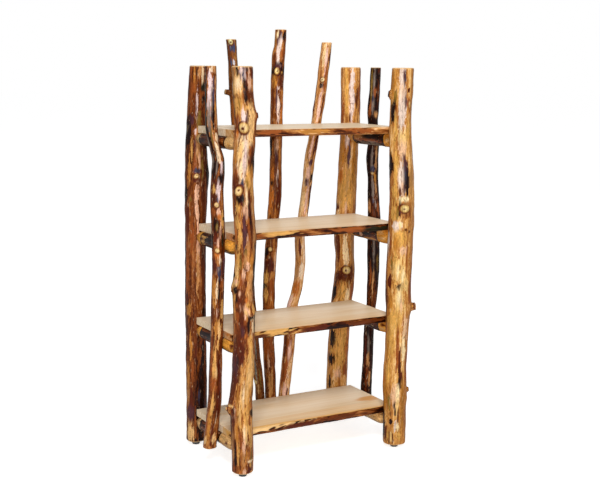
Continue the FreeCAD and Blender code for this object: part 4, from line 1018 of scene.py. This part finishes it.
def glide_plastic():
    """Black moulded plastic, a little scuffed."""
    nodes = Surface("glide_plastic")
    scuffs = nodes.noise(nodes.position(), scale=350.0, detail=4)
    nodes.put("Base Color", nodes.ramp(scuffs, [(0.3, PLASTIC_BLACK), (0.7, PLASTIC_GREY)]))
    nodes.put("Roughness", nodes.span(scuffs, 0.3, 0.7, 0.35, 0.6))
    nodes.put("Normal", nodes.bump(scuffs, 0.2, 0.0003))
    return nodes.material


def zinc_steel():
    """Zinc-plated screws and nails."""
    nodes = Surface("zinc_steel")
    stains = nodes.noise(nodes.position(), scale=600.0, detail=3)
    nodes.put("Base Color", nodes.ramp(stains, [(0.3, ZINC_DARK), (0.7, ZINC_PALE)]))
    nodes.put("Roughness", nodes.span(stains, 0.3, 0.7, 0.25, 0.45))
    nodes.put("Metallic", 1.0)
    return nodes.material


# Logs of the part

# Seed, middle and reach of the wood's tone, how its red, green and blue are turned up or down, and
# its slot
POST_LOOKS = {
    "post_front_left": (11, 0.66, 0.28, (0.92, 0.84, 0.74), "post_wood"),
    "post_front_right": (12, 0.78, 0.17, (0.94, 0.92, 0.74), "post_wood"),
    "post_back_left": (13, 0.45, 0.20, (0.95, 0.88, 0.80), "post_wood"),
    "post_back_right": (14, 0.77, 0.22, (1.12, 1.10, 0.96), "post_wood"),
}
POLE_LOOKS = {
    "side_pole_left": (21, 0.52, 0.22, (0.97, 0.92, 0.88), "pole_wood"),
    "side_pole_right": (22, 0.24, 0.20, (0.95, 0.95, 0.95), "dark_pole_wood"),
    "back_pole_middle": (23, 0.57, 0.22, (1.12, 1.10, 0.94), "pole_wood"),
    "back_pole_right": (24, 0.79, 0.20, (1.12, 1.18, 1.32), "pale_pole_wood"),
    "back_pole_left": (25, 0.46, 0.16, (1.00, 1.20, 1.28), "dark_pole_wood"),
}

# Smooth bulges: height, facing in degrees from +X, how far out, reach up, down and around
SWELLINGS = {
    "post_front_left": [
        (0.322, 166.0, 0.008, 0.050, 0.022, 34.0),
        (0.870, 158.0, 0.007, 0.030, 0.024, 20.0),
        (1.760, -140.0, 0.006, 0.060, 0.050, 32.0),
        (0.776, -52.0, 0.009, 0.026, 0.022, 24.0),
        (1.640, -34.0, 0.006, 0.030, 0.030, 22.0),
    ],
    "post_front_right": [
        (1.195, -80.0, 0.004, 0.035, 0.035, 26.0),
        (1.610, -27.0, -0.006, 0.160, 0.140, 46.0),
        (0.400, -27.0, -0.007, 0.080, 0.080, 46.0),
        (0.713, -32.0, 0.008, 0.030, 0.026, 24.0),
        (0.250, -30.0, 0.005, 0.020, 0.020, 20.0),
    ],
    "post_back_left": [
        (1.335, -116.0, 0.005, 0.030, 0.030, 26.0),
    ],
}

# Branch stubs: log, height, facing in degrees from +X, radius at the log's side and at the end,
# reach beyond the log's side, and colour of the end
STUBS = [
    ("post_front_left", 0.322, 166.0, 0.020, 0.008, 0.016, PALE_GOLD),
    ("post_front_left", 0.872, 158.0, 0.014, 0.010, 0.007, PALE_GOLD),
    ("post_front_left", 1.640, -28.0, 0.014, 0.011, 0.007, DARK_GREEN),
    ("post_front_right", 0.706, -30.0, 0.018, 0.015, 0.026, PINK_WOOD_AND_HIGHLIGHT),
    ("post_front_right", 0.292, -30.0, 0.013, 0.010, 0.009, TAN),
    ("post_front_right", 1.725, 156.0, 0.018, 0.012, 0.009, NEAR_BLACK),
    ("back_pole_left", 1.724, 168.0, 0.013, 0.011, 0.022, TAN),
]
# Rings of a stub: place along its reach, and width as a share of the stub's there
STUB_SHARES = [
    (-0.30, 1.25),
    (0.00, 1.00),
    (0.35, 1.00),
    (0.70, 1.00),
    (0.90, 1.00),
    (0.97, 0.60),
    (1.00, 0.45),
    (1.00, 0.15),
]
STUB_SIDES = 24
# The last rings of a stub take the colour of its sawn end. The one before them is a brown rim, and
# on the others this much brown shows
STUB_END_RINGS = 4
STUB_STAIN = 0.35
# How much faster than its reach a stub thins, how much it points up, and how much taller than wide
# it is
STUB_TAPER = 1.6
STUB_LIFT = 0.12
STUB_TALLNESS = 1.15


def add_stub(skin, traced, height, facing, base, end, reach, colour, seed):
    """A tapered, sawn stub grown on a log's skin."""
    ring = int(np.argmin(np.abs(traced.stations - height)))
    angle = math.radians(facing)
    side = int(round(angle / (2 * math.pi) * traced.sides)) % traced.sides
    start = traced.place(ring, side)
    outward = Vector((math.cos(angle), math.sin(angle), STUB_LIFT)).normalized()
    across = outward.cross(Vector((0, 0, 1))).normalized()
    upward = across.cross(outward)
    rng = np.random.default_rng(seed)
    phase = rng.uniform(0, 2 * math.pi)
    rows = np.zeros((len(STUB_SHARES), STUB_SIDES, 3))
    grain = np.zeros_like(rows)
    paint = np.zeros((len(STUB_SHARES), STUB_SIDES, 4))
    ends = np.zeros((len(STUB_SHARES), STUB_SIDES))
    for i, (along, share) in enumerate(STUB_SHARES):
        taper = min(1.0, max(0.0, along * STUB_TAPER))
        width = (base + (end - base) * taper) * share
        for k in range(STUB_SIDES):
            turn = 2 * math.pi * k / STUB_SIDES
            lobe = 1 + 0.07 * math.cos(2 * turn + phase) + 0.05 * math.cos(3 * turn - phase)
            sideways = across * (math.cos(turn) * width * lobe)
            offset = sideways + upward * (math.sin(turn) * width * lobe * STUB_TALLNESS)
            rows[i, k] = start + outward * (reach * along) + offset
            grain[i, k] = (offset.dot(across) + seed, offset.dot(upward), reach * along)
    paint[:, :, :3] = BROWN
    paint[:, :, 3] = STUB_STAIN
    paint[-STUB_END_RINGS:, :, :3] = colour
    paint[-STUB_END_RINGS - 1:, :, 3] = 1.0
    skin.add_rows(rows, grain, paint, ends)


# Steps from a log's seed to those for the places and outlines of its far marks, the outlines of
# its near marks, its knots and its stubs
FAR_PLACES_STEP = 50
FAR_MARKS_STEP = 60
NEAR_MARKS_STEP = 70
KNOTS_STEP = 75
STUBS_STEP = 80


def build_log(name, kind, look):
    """One post or pole: its traced course with relief, marks, knots and stubs."""
    sides, rim, *unevenness = kind
    seed, middle, reach, tint, slot = look
    traced = Traced(name, UPRIGHT, sides, rim)
    facing = photo_facing(traced)
    marks = log_marks(name)
    paint = Paint((len(traced.stations), traced.sides))
    far_marks = mirrored_marks(marks, seed + FAR_PLACES_STEP)
    paint_marks(paint, traced, far_marks, facing + math.pi, seed + FAR_MARKS_STEP)
    paint_marks(paint, traced, marks, facing, seed + NEAR_MARKS_STEP)
    relief = log_relief(traced, seed, *unevenness)
    relief += knot_relief(traced, KNOTS[name], facing, paint, seed + KNOTS_STEP)
    relief += swell_relief(traced, SWELLINGS.get(name, []))
    skin = Skin()
    skin.add_rows(*log_rows(traced, relief, paint, seed))
    for k, (log, *row) in enumerate(STUBS):
        if log == name:
            add_stub(skin, traced, *row, seed + STUBS_STEP + k)
    material = peeled_wood(name + "_wood", middle, reach, tint)
    obj = new_object(name + "_log", skin.mesh(name + "_log"), material)
    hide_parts(name)


def build_posts_and_poles():
    """The four posts and the five poles."""
    for looks, kind in ((POST_LOOKS, POST_KIND), (POLE_LOOKS, POLE_KIND)):
        for name, look in looks.items():
            build_log(name, kind, look)


# Rungs: seed, tone of the wood, lengths of the front and back shoulders, and their colour, made
# brighter than the wood's own as painted light where the shelf above shades the shoulders
RUNG_LOOKS = {
    "top_shelf_rung_left": (31, 0.32, 0.075, 0.050, PALE_GOLD),
    "top_shelf_rung_right": (32, 0.40, 0.065, 0.055, HONEY_WITH_PAINTED_LIGHT),
    "upper_shelf_rung_left": (33, 0.30, 0.088, 0.060, HONEY_WITH_PAINTED_LIGHT),
    "upper_shelf_rung_right": (34, 0.34, 0.086, 0.060, HONEY_WITH_PAINTED_LIGHT),
    "lower_shelf_rung_left": (35, 0.30, 0.093, 0.060, HONEY_WITH_PAINTED_LIGHT),
    "lower_shelf_rung_right": (36, 0.34, 0.060, 0.060, HONEY_WITH_PAINTED_LIGHT),
    "bottom_shelf_rung_left": (37, 0.34, 0.115, 0.060, PALE_GOLD),
    "bottom_shelf_rung_right": (38, 0.40, 0.150, 0.060, PALE_GOLD),
}
# Marks as the left side shows them: place from front to back, place across from -1 at the
# underside to 1 at the top, half length, half width, and colour. The pink and grey marks paint
# highlights as well as the wood's own colour
RUNG_MARKS = {
    "top_shelf_rung_left": [
        (-0.155, -0.2, 0.012, 0.3, GOLD),
    ],
    "top_shelf_rung_right": [
        (0.130, 0.1, 0.090, 0.6, AMBER),
        (0.185, -0.4, 0.012, 0.3, PURPLE),
        (-0.010, 0.3, 0.065, 0.4, NEAR_BLACK),
        (0.020, -0.3, 0.100, 0.2, RUST),
        (0.010, -0.8, 0.100, 0.3, GREY_BARK_AND_HIGHLIGHT),
        (-0.160, 0.0, 0.015, 0.3, PALE_GOLD),
    ],
    "upper_shelf_rung_left": [
        (0.115, 0.1, 0.040, 0.5, GOLD),
        (0.115, 0.1, 0.018, 0.2, MAROON),
        (-0.150, -0.8, 0.060, 0.4, NEAR_BLACK),
    ],
    "upper_shelf_rung_right": [
        (0.140, 0.1, 0.080, 0.6, RUST),
        (0.080, 0.1, 0.035, 0.2, DARK_GREEN),
        (0.045, -0.1, 0.012, 0.6, PINK_WOOD_AND_HIGHLIGHT),
        (0.002, 0.2, 0.038, 0.5, NEAR_BLACK),
        (-0.010, -0.7, 0.060, 0.2, TAN),
        (-0.120, 0.4, 0.020, 0.2, PALE_GOLD),
        (-0.140, -0.3, 0.020, 0.2, PALE_GOLD),
    ],
    "lower_shelf_rung_left": [
        (-0.185, 0.2, 0.014, 0.4, MAROON),
        (-0.130, -0.9, 0.050, 0.3, NEAR_BLACK),
    ],
    "lower_shelf_rung_right": [
        (-0.165, 0.4, 0.018, 0.2, MAROON),
        (-0.155, -0.3, 0.020, 0.2, PALE_GOLD),
    ],
    "bottom_shelf_rung_left": [
        (-0.155, 0.1, 0.010, 0.3, MAROON),
        (-0.100, -0.6, 0.050, 0.3, AMBER),
    ],
    "bottom_shelf_rung_right": [
        (-0.080, -0.2, 0.040, 0.3, AMBER),
    ],
}
# The marks nearer the front than this lie on the shoulders, and are laid after them
SHOULDER_MARKS_END = -0.100
# The way a rung's marks face, and the step from its seed to that of their outlines
LEFTWARD = -math.pi / 2
RUNG_MARKS_STEP = 5
# Reach of a rung's tone, and how its red, green and blue are turned down
RUNG_REACH = 0.26
RUNG_TINT = (1.0, 0.96, 0.90)
# How far a rung may stand out over its solid, so that it stays clear of the shelf
RUNG_RELIEF_LIMIT = 0.001
# The tenon at each end of a rung, and the dark band behind its shoulder
TENON_REACH = 0.047
BAND_WIDTH = 0.007
# The gap between growth rings cut by a shoulder
RING_GAP = 0.014


def build_rung(name, seed, middle, front_shoulder, back_shoulder, shoulder_colour):
    """A rung with bark on its body and whittled, pale shoulders that cut the growth rings."""
    sides, rim, *unevenness = RUNG_KIND
    traced = Traced(name, LYING, sides, rim)
    paint = Paint((len(traced.stations), traced.sides))
    body_marks = [mark for mark in RUNG_MARKS[name] if mark[0] > SHOULDER_MARKS_END]
    shoulder_marks = [mark for mark in RUNG_MARKS[name] if mark[0] <= SHOULDER_MARKS_END]
    x, z, places = traced.round_places()
    rough = 0.003 * waves(x, z, places, seed, 0.040, 0.080)
    paint_marks(paint, traced, body_marks, LEFTWARD, seed + RUNG_MARKS_STEP)
    for end, sign, length in ((traced.low, 1, front_shoulder), (traced.high, -1, back_shoulder)):
        inward = sign * (places - end) - TENON_REACH - length + rough
        paint.lay(NEAR_BLACK, (BAND_WIDTH - np.abs(inward - BAND_WIDTH)) / BAND_WIDTH, 0.8)
        # The shoulder's colour, brighter than its wood as painted light under the shelf
        paint.lay(shoulder_colour, -inward / (0.5 * BAND_WIDTH))
        rings = np.cos(2 * math.pi * (inward + 2 * rough) / RING_GAP) * np.ones_like(x)
        inside = np.clip(-inward / BAND_WIDTH - 0.5, 0, 1)
        paint.lay(AMBER, 1.5 * rings * inside - 0.9, 0.6)
    paint_marks(paint, traced, shoulder_marks, LEFTWARD, seed + RUNG_MARKS_STEP)
    relief = np.minimum(log_relief(traced, seed, *unevenness), RUNG_RELIEF_LIMIT)
    skin = Skin()
    skin.add_rows(*log_rows(traced, relief, paint, seed))
    material = peeled_wood(name + "_wood", middle, RUNG_REACH, RUNG_TINT)
    obj = new_object(name + "_log", skin.mesh(name + "_log"), material)
    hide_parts(name)


# Shelves: marks on the live edge as place along it from its left end, level from the underside
# to the top face, half length, half height (both levels as shares), and colour
EDGE_MARKS = {
    "top_shelf": [
        (0.20, 0.6, 0.06, 0.3, RUST),
        (0.45, 0.7, 0.10, 0.3, AMBER),
        (0.75, 0.5, 0.08, 0.3, RUST),
    ],
    "upper_shelf": [
        (0.25, 0.7, 0.10, 0.4, GOLD),
        (0.12, 0.6, 0.05, 0.3, RUST),
        (0.70, 0.5, 0.10, 0.4, RUST),
        (0.86, 0.4, 0.08, 0.4, DARK_GREEN),
    ],
    "lower_shelf": [
        (0.22, 0.6, 0.14, 0.5, GOLD),
        (0.16, 0.3, 0.05, 0.3, BROWN),
        (0.50, 0.5, 0.08, 0.3, MAROON),
        (0.80, 0.5, 0.10, 0.3, BROWN),
    ],
    "bottom_shelf": [
        (0.18, 0.9, 0.24, 0.4, PALE_GOLD),
        (0.40, 0.5, 0.10, 0.3, MAROON),
        (0.65, 0.6, 0.12, 0.3, BROWN),
    ],
}
# Tone of the bark on the live edge, how golden the top is beside it, and colour of the end
EDGE_LOOKS = {
    "top_shelf": (0.56, 0.5, AMBER),
    "upper_shelf": (0.36, 0.5, ORANGE),
    "lower_shelf": (0.36, 0.6, ORANGE),
    "bottom_shelf": (0.30, 1.0, BOARD_WARM),
}
EDGE_SEED = 41
EDGE_LEVELS = 12
EDGE_STEP = 0.005
EDGE_SMOOTHING = 0.012
# How far the middle of the edge bows out, and how its two corners are rounded off
EDGE_BOW = 0.0025
LIP_DEPTH = 0.0020
LIP_SHARE = 0.2
# Points on a board's faces: place from the seam to the edge, and how much bark shows there
FACE_SHARES = [(0.25, 0.0), (0.55, 0.0), (0.75, 0.10), (0.92, 0.35)]
# Bark on the upper corner of the edge
CORNER_BARK = 0.45
# A board's faces that meet at more than this stay sharp
SHARP_ANGLE = math.radians(50)


def board_ring(x, front, low, high):
    """One section of a front board: place, bark and level of each point, from the seam around."""
    seam = high.y
    thick = high.z - low.z
    ring = []
    for share, bark in FACE_SHARES:
        ring.append((x, seam + (front[0] - seam) * share, low.z, bark, 0.0))
    for level in np.linspace(0, 1, EDGE_LEVELS):
        bow = math.sin(math.pi * level) * EDGE_BOW
        base = np.interp(level, [0, 0.5, 1], front)
        lip = LIP_DEPTH * (max(0.0, abs(2 * level - 1) - (1 - LIP_SHARE)) / LIP_SHARE) ** 2
        bark = 1.0 if level < 1 else CORNER_BARK
        ring.append((x, base - bow + lip, low.z + thick * level, bark, level))
    for share, bark in reversed(FACE_SHARES):
        ring.append((x, seam + (front[2] - seam) * share, high.z, bark, 1.0))
    ring.append((x, seam, high.z, 0.0, 1.0))
    ring.append((x, seam, low.z, 0.0, 0.0))
    return ring


def build_front_board(prefix, seed):
    """The front board of a shelf, with a wavy live edge."""
    node = prefix + "_front_board"
    low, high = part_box(node)
    count = int((high.x - low.x) / EDGE_STEP) + 1
    xs = np.linspace(low.x, high.x, count)
    course = edge_course(node, xs, low, high)
    data = np.array([board_ring(x, front, low, high) for x, front in zip(xs, course)])
    points = data[:, :, :3].copy()
    bark = data[:, :, 3]
    level = data[:, :, 4]
    along = (points[:, :, 0] - low.x) / (high.x - low.x)
    x, y, z = points[:, :, 0], points[:, :, 1], points[:, :, 2]
    bumps = 0.0008 * waves(y, z, x, seed, 0.016, 0.034)
    bumps += 0.0012 * waves(y, z, x, seed + 1, 0.05, 0.11)
    points[:, :, 1] += bumps * bark
    points[:, :, 1] = np.maximum(points[:, :, 1], low.y)
    paint = Paint(points.shape[:2])
    rough = 0.4 * waves(y, z, x, seed + 2, 0.020, 0.050)
    for place, height, half_long, half_high, colour in EDGE_MARKS[prefix]:
        size = np.sqrt(((along - place) / half_long) ** 2 + ((level - height) / half_high) ** 2)
        paint.lay(colour, 1 - size + rough)
    skin = Skin()
    points = points[:, ::-1]
    skin.add_rows(points, points + seed, paint.rgba()[:, ::-1], bark[:, ::-1])
    mesh = skin.mesh(node + "_wood")
    mesh.set_sharp_from_angle(angle=SHARP_ANGLE)
    material = live_edge_wood(node + "_live", *EDGE_LOOKS[prefix])
    obj = new_object(node + "_wood", mesh, material)
    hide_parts(node)


# Rays that find the edge: their levels, how far inside the ends they stay, how far in front they
# start, and how deep the edge may wave
RAY_LEVEL_SHARES = (0.02, 0.5, 0.98)
RAY_INSET = 0.001
RAY_START = 0.1
RAY_REACH = 1.0
EDGE_DEPTH = 0.025


def edge_course(node, xs, low, high):
    """Where the CAD board's front lies at its underside, half thickness and top face."""
    tree = solid_tree(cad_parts[node].data)
    thick = high.z - low.z
    course = np.full((len(xs), len(RAY_LEVEL_SHARES)), np.nan)
    for i, x in enumerate(xs):
        inside = min(max(x, low.x + RAY_INSET), high.x - RAY_INSET)
        for k, level in enumerate(RAY_LEVEL_SHARES):
            origin = Vector((inside, low.y - RAY_START, low.z + thick * level))
            hit = tree.ray_cast(origin, Vector((0, 1, 0)), RAY_REACH)
            if hit[0] is not None:
                course[i, k] = hit[0].y
    course = np.where(course > low.y + EDGE_DEPTH, np.nan, course)
    for k in range(len(RAY_LEVEL_SHARES)):
        good = ~np.isnan(course[:, k])
        course[:, k] = np.interp(xs, xs[good], course[good, k])
    return smooth_along(course, EDGE_SMOOTHING / EDGE_STEP)


# Orange heartwood on a board: place, half length and half width
HEARTWOOD = {("bottom_shelf", "middle"): (0.392, -0.052, 0.075, 0.036)}


def coat_node(node, material):
    """Gives a carried-over CAD node its material."""
    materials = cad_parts[node].data.materials
    materials.clear()
    materials.append(material)


def dress_boards():
    """Wood for the boards that keep their CAD solids, and the live-edge boards."""
    for k, prefix in enumerate(EDGE_MARKS):
        build_front_board(prefix, EDGE_SEED + k)
        for j, kind in enumerate(("middle", "back")):
            heart = HEARTWOOD.get((prefix, kind))
            material = board_wood(prefix + "_" + kind + "_wood", 2 * k + j + 1, heart)
            coat_node(prefix + "_" + kind + "_board", material)


# A glide from the floor up: shares of its height and of its radius
GLIDE_SHARES = [
    (0.00, 0.84),
    (0.03, 0.92),
    (0.09, 0.97),
    (0.18, 1.00),
    (0.90, 1.00),
    (1.00, 0.97),
]
GLIDE_SIDES = 48


def build_glides():
    """Round moulded glides under the posts."""
    material = glide_plastic()
    for corner in ("front_left", "front_right", "back_left", "back_right"):
        node = "foot_glide_" + corner
        low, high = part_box(node)
        middle = (low + high) / 2
        radius = (high.x - low.x) / 2
        rows = np.zeros((len(GLIDE_SHARES), GLIDE_SIDES, 3))
        for i, (level, share) in enumerate(GLIDE_SHARES):
            for k in range(GLIDE_SIDES):
                angle = 2 * math.pi * k / GLIDE_SIDES
                rows[i, k] = (
                    middle.x + radius * share * math.cos(angle),
                    middle.y + radius * share * math.sin(angle),
                    low.z + (high.z - low.z) * level,
                )
        skin = Skin()
        flat = np.zeros(rows.shape[:2])
        skin.add_rows(rows, rows, np.zeros(rows.shape[:2] + (4,)), flat)
        obj = new_object(node + "_disc", skin.mesh(node + "_disc"), material)
        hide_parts(node)


def dress_fasteners():
    """Steel for the screws and nails."""
    material = zinc_steel()
    for name in ("shelf_screws", "back_pole_screws", "side_pole_screws", "glide_nails"):
        coat_node(name, material)


# Studio

def seen_directly(nodes):
    """One where the camera, a gloss or a glass looks, and nothing where light is gathered."""
    path = nodes.make("ShaderNodeLightPath")
    seen = nodes.math("MAXIMUM", path.outputs["Is Camera Ray"], path.outputs["Is Glossy Ray"])
    return nodes.math("MAXIMUM", seen, path.outputs["Is Transmission Ray"])


# How white the floor looks by itself, and how strongly the white room lights the bookcase
FLOOR_GLOW = 0.74
ROOM_LIGHT = 0.30
WHITE = (1.0, 1.0, 1.0, 1.0)
FLOOR_GREY = (0.86, 0.86, 0.86, 1.0)
# Half the floor's width, and how far it lies under the glides
FLOOR_HALF = 60.0
FLOOR_DROP = 0.0006


def build_floor():
    """A wide pale floor that keeps the bookcase's shadow."""
    mesh = bpy.data.meshes.new("floor")
    corners = []
    for x, y in ((-1, -1), (1, -1), (1, 1), (-1, 1)):
        corners.append((x * FLOOR_HALF, y * FLOOR_HALF, -FLOOR_DROP))
    mesh.from_pydata(corners, [], [(0, 1, 2, 3)])
    floor = bpy.data.objects.new("floor", mesh)
    bpy.context.scene.collection.objects.link(floor)
    nodes = Surface("floor_white")
    nodes.put("Base Color", FLOOR_GREY)
    nodes.put("Roughness", 1.0)
    nodes.put("Specular IOR Level", 0.0)
    nodes.put("Emission Color", WHITE)
    nodes.put("Emission Strength", nodes.math("MULTIPLY", seen_directly(nodes), FLOOR_GLOW))
    mesh.materials.append(nodes.material)


def build_world():
    """An even white room that lights the bookcase softly."""
    world = bpy.data.worlds.new("studio")
    bpy.context.scene.world = world
    world.use_nodes = True
    nodes = Nodes(world.node_tree)
    background = nodes.tree.nodes["Background"]
    strength = nodes.span(seen_directly(nodes), 0.0, 1.0, ROOM_LIGHT, 1.0, smooth=False)
    nodes.feed(background.inputs["Color"], WHITE)
    nodes.feed(background.inputs["Strength"], strength)


def add_softbox(name, place, target, width, height, power):
    """A soft rectangular lamp."""
    lamp = bpy.data.lights.new(name, "AREA")
    lamp.shape = "RECTANGLE"
    lamp.size = width
    lamp.size_y = height
    lamp.energy = power
    obj = bpy.data.objects.new(name, lamp)
    bpy.context.scene.collection.objects.link(obj)
    obj.location = place
    obj.rotation_euler = (Vector(target) - Vector(place)).to_track_quat("-Z", "Y").to_euler()


def build_lights():
    """Soft light from above the camera and beside it, and a strip for the gloss."""
    add_softbox("key", (-2.6, -5.0, 6.5), (0, 0, 0.9), 2.4, 2.4, 440)
    add_softbox("front", (-2.4, -6.0, 1.7), (0, 0, 0.95), 0.8, 2.4, 80)
    add_softbox("strip", (-3.6, -4.6, 1.4), (0, 0, 0.95), 0.20, 2.4, 24)


def build_camera():
    """The photograph's camera."""
    data = bpy.data.cameras.new("camera")
    data.lens = CAMERA_LENS
    data.sensor_fit = "HORIZONTAL"
    data.sensor_width = CAMERA_SENSOR
    data.clip_end = CAMERA_REACH
    camera = bpy.data.objects.new("camera", data)
    bpy.context.scene.collection.objects.link(camera)
    turn = Matrix.Rotation(-CAMERA_YAW, 4, "Z")
    tilt = Matrix.Rotation(math.pi / 2 - CAMERA_PITCH, 4, "X")
    roll = Matrix.Rotation(CAMERA_ROLL, 4, "Z")
    camera.matrix_world = Matrix.Translation(CAMERA_PLACE) @ turn @ tilt @ roll
    bpy.context.scene.camera = camera


build_posts_and_poles()
for rung_name, rung_look in RUNG_LOOKS.items():
    build_rung(rung_name, *rung_look)
dress_boards()
build_glides()
dress_fasteners()
build_floor()
build_world()
build_lights()
build_camera()
bpy.context.scene.view_settings.view_transform = "Standard"
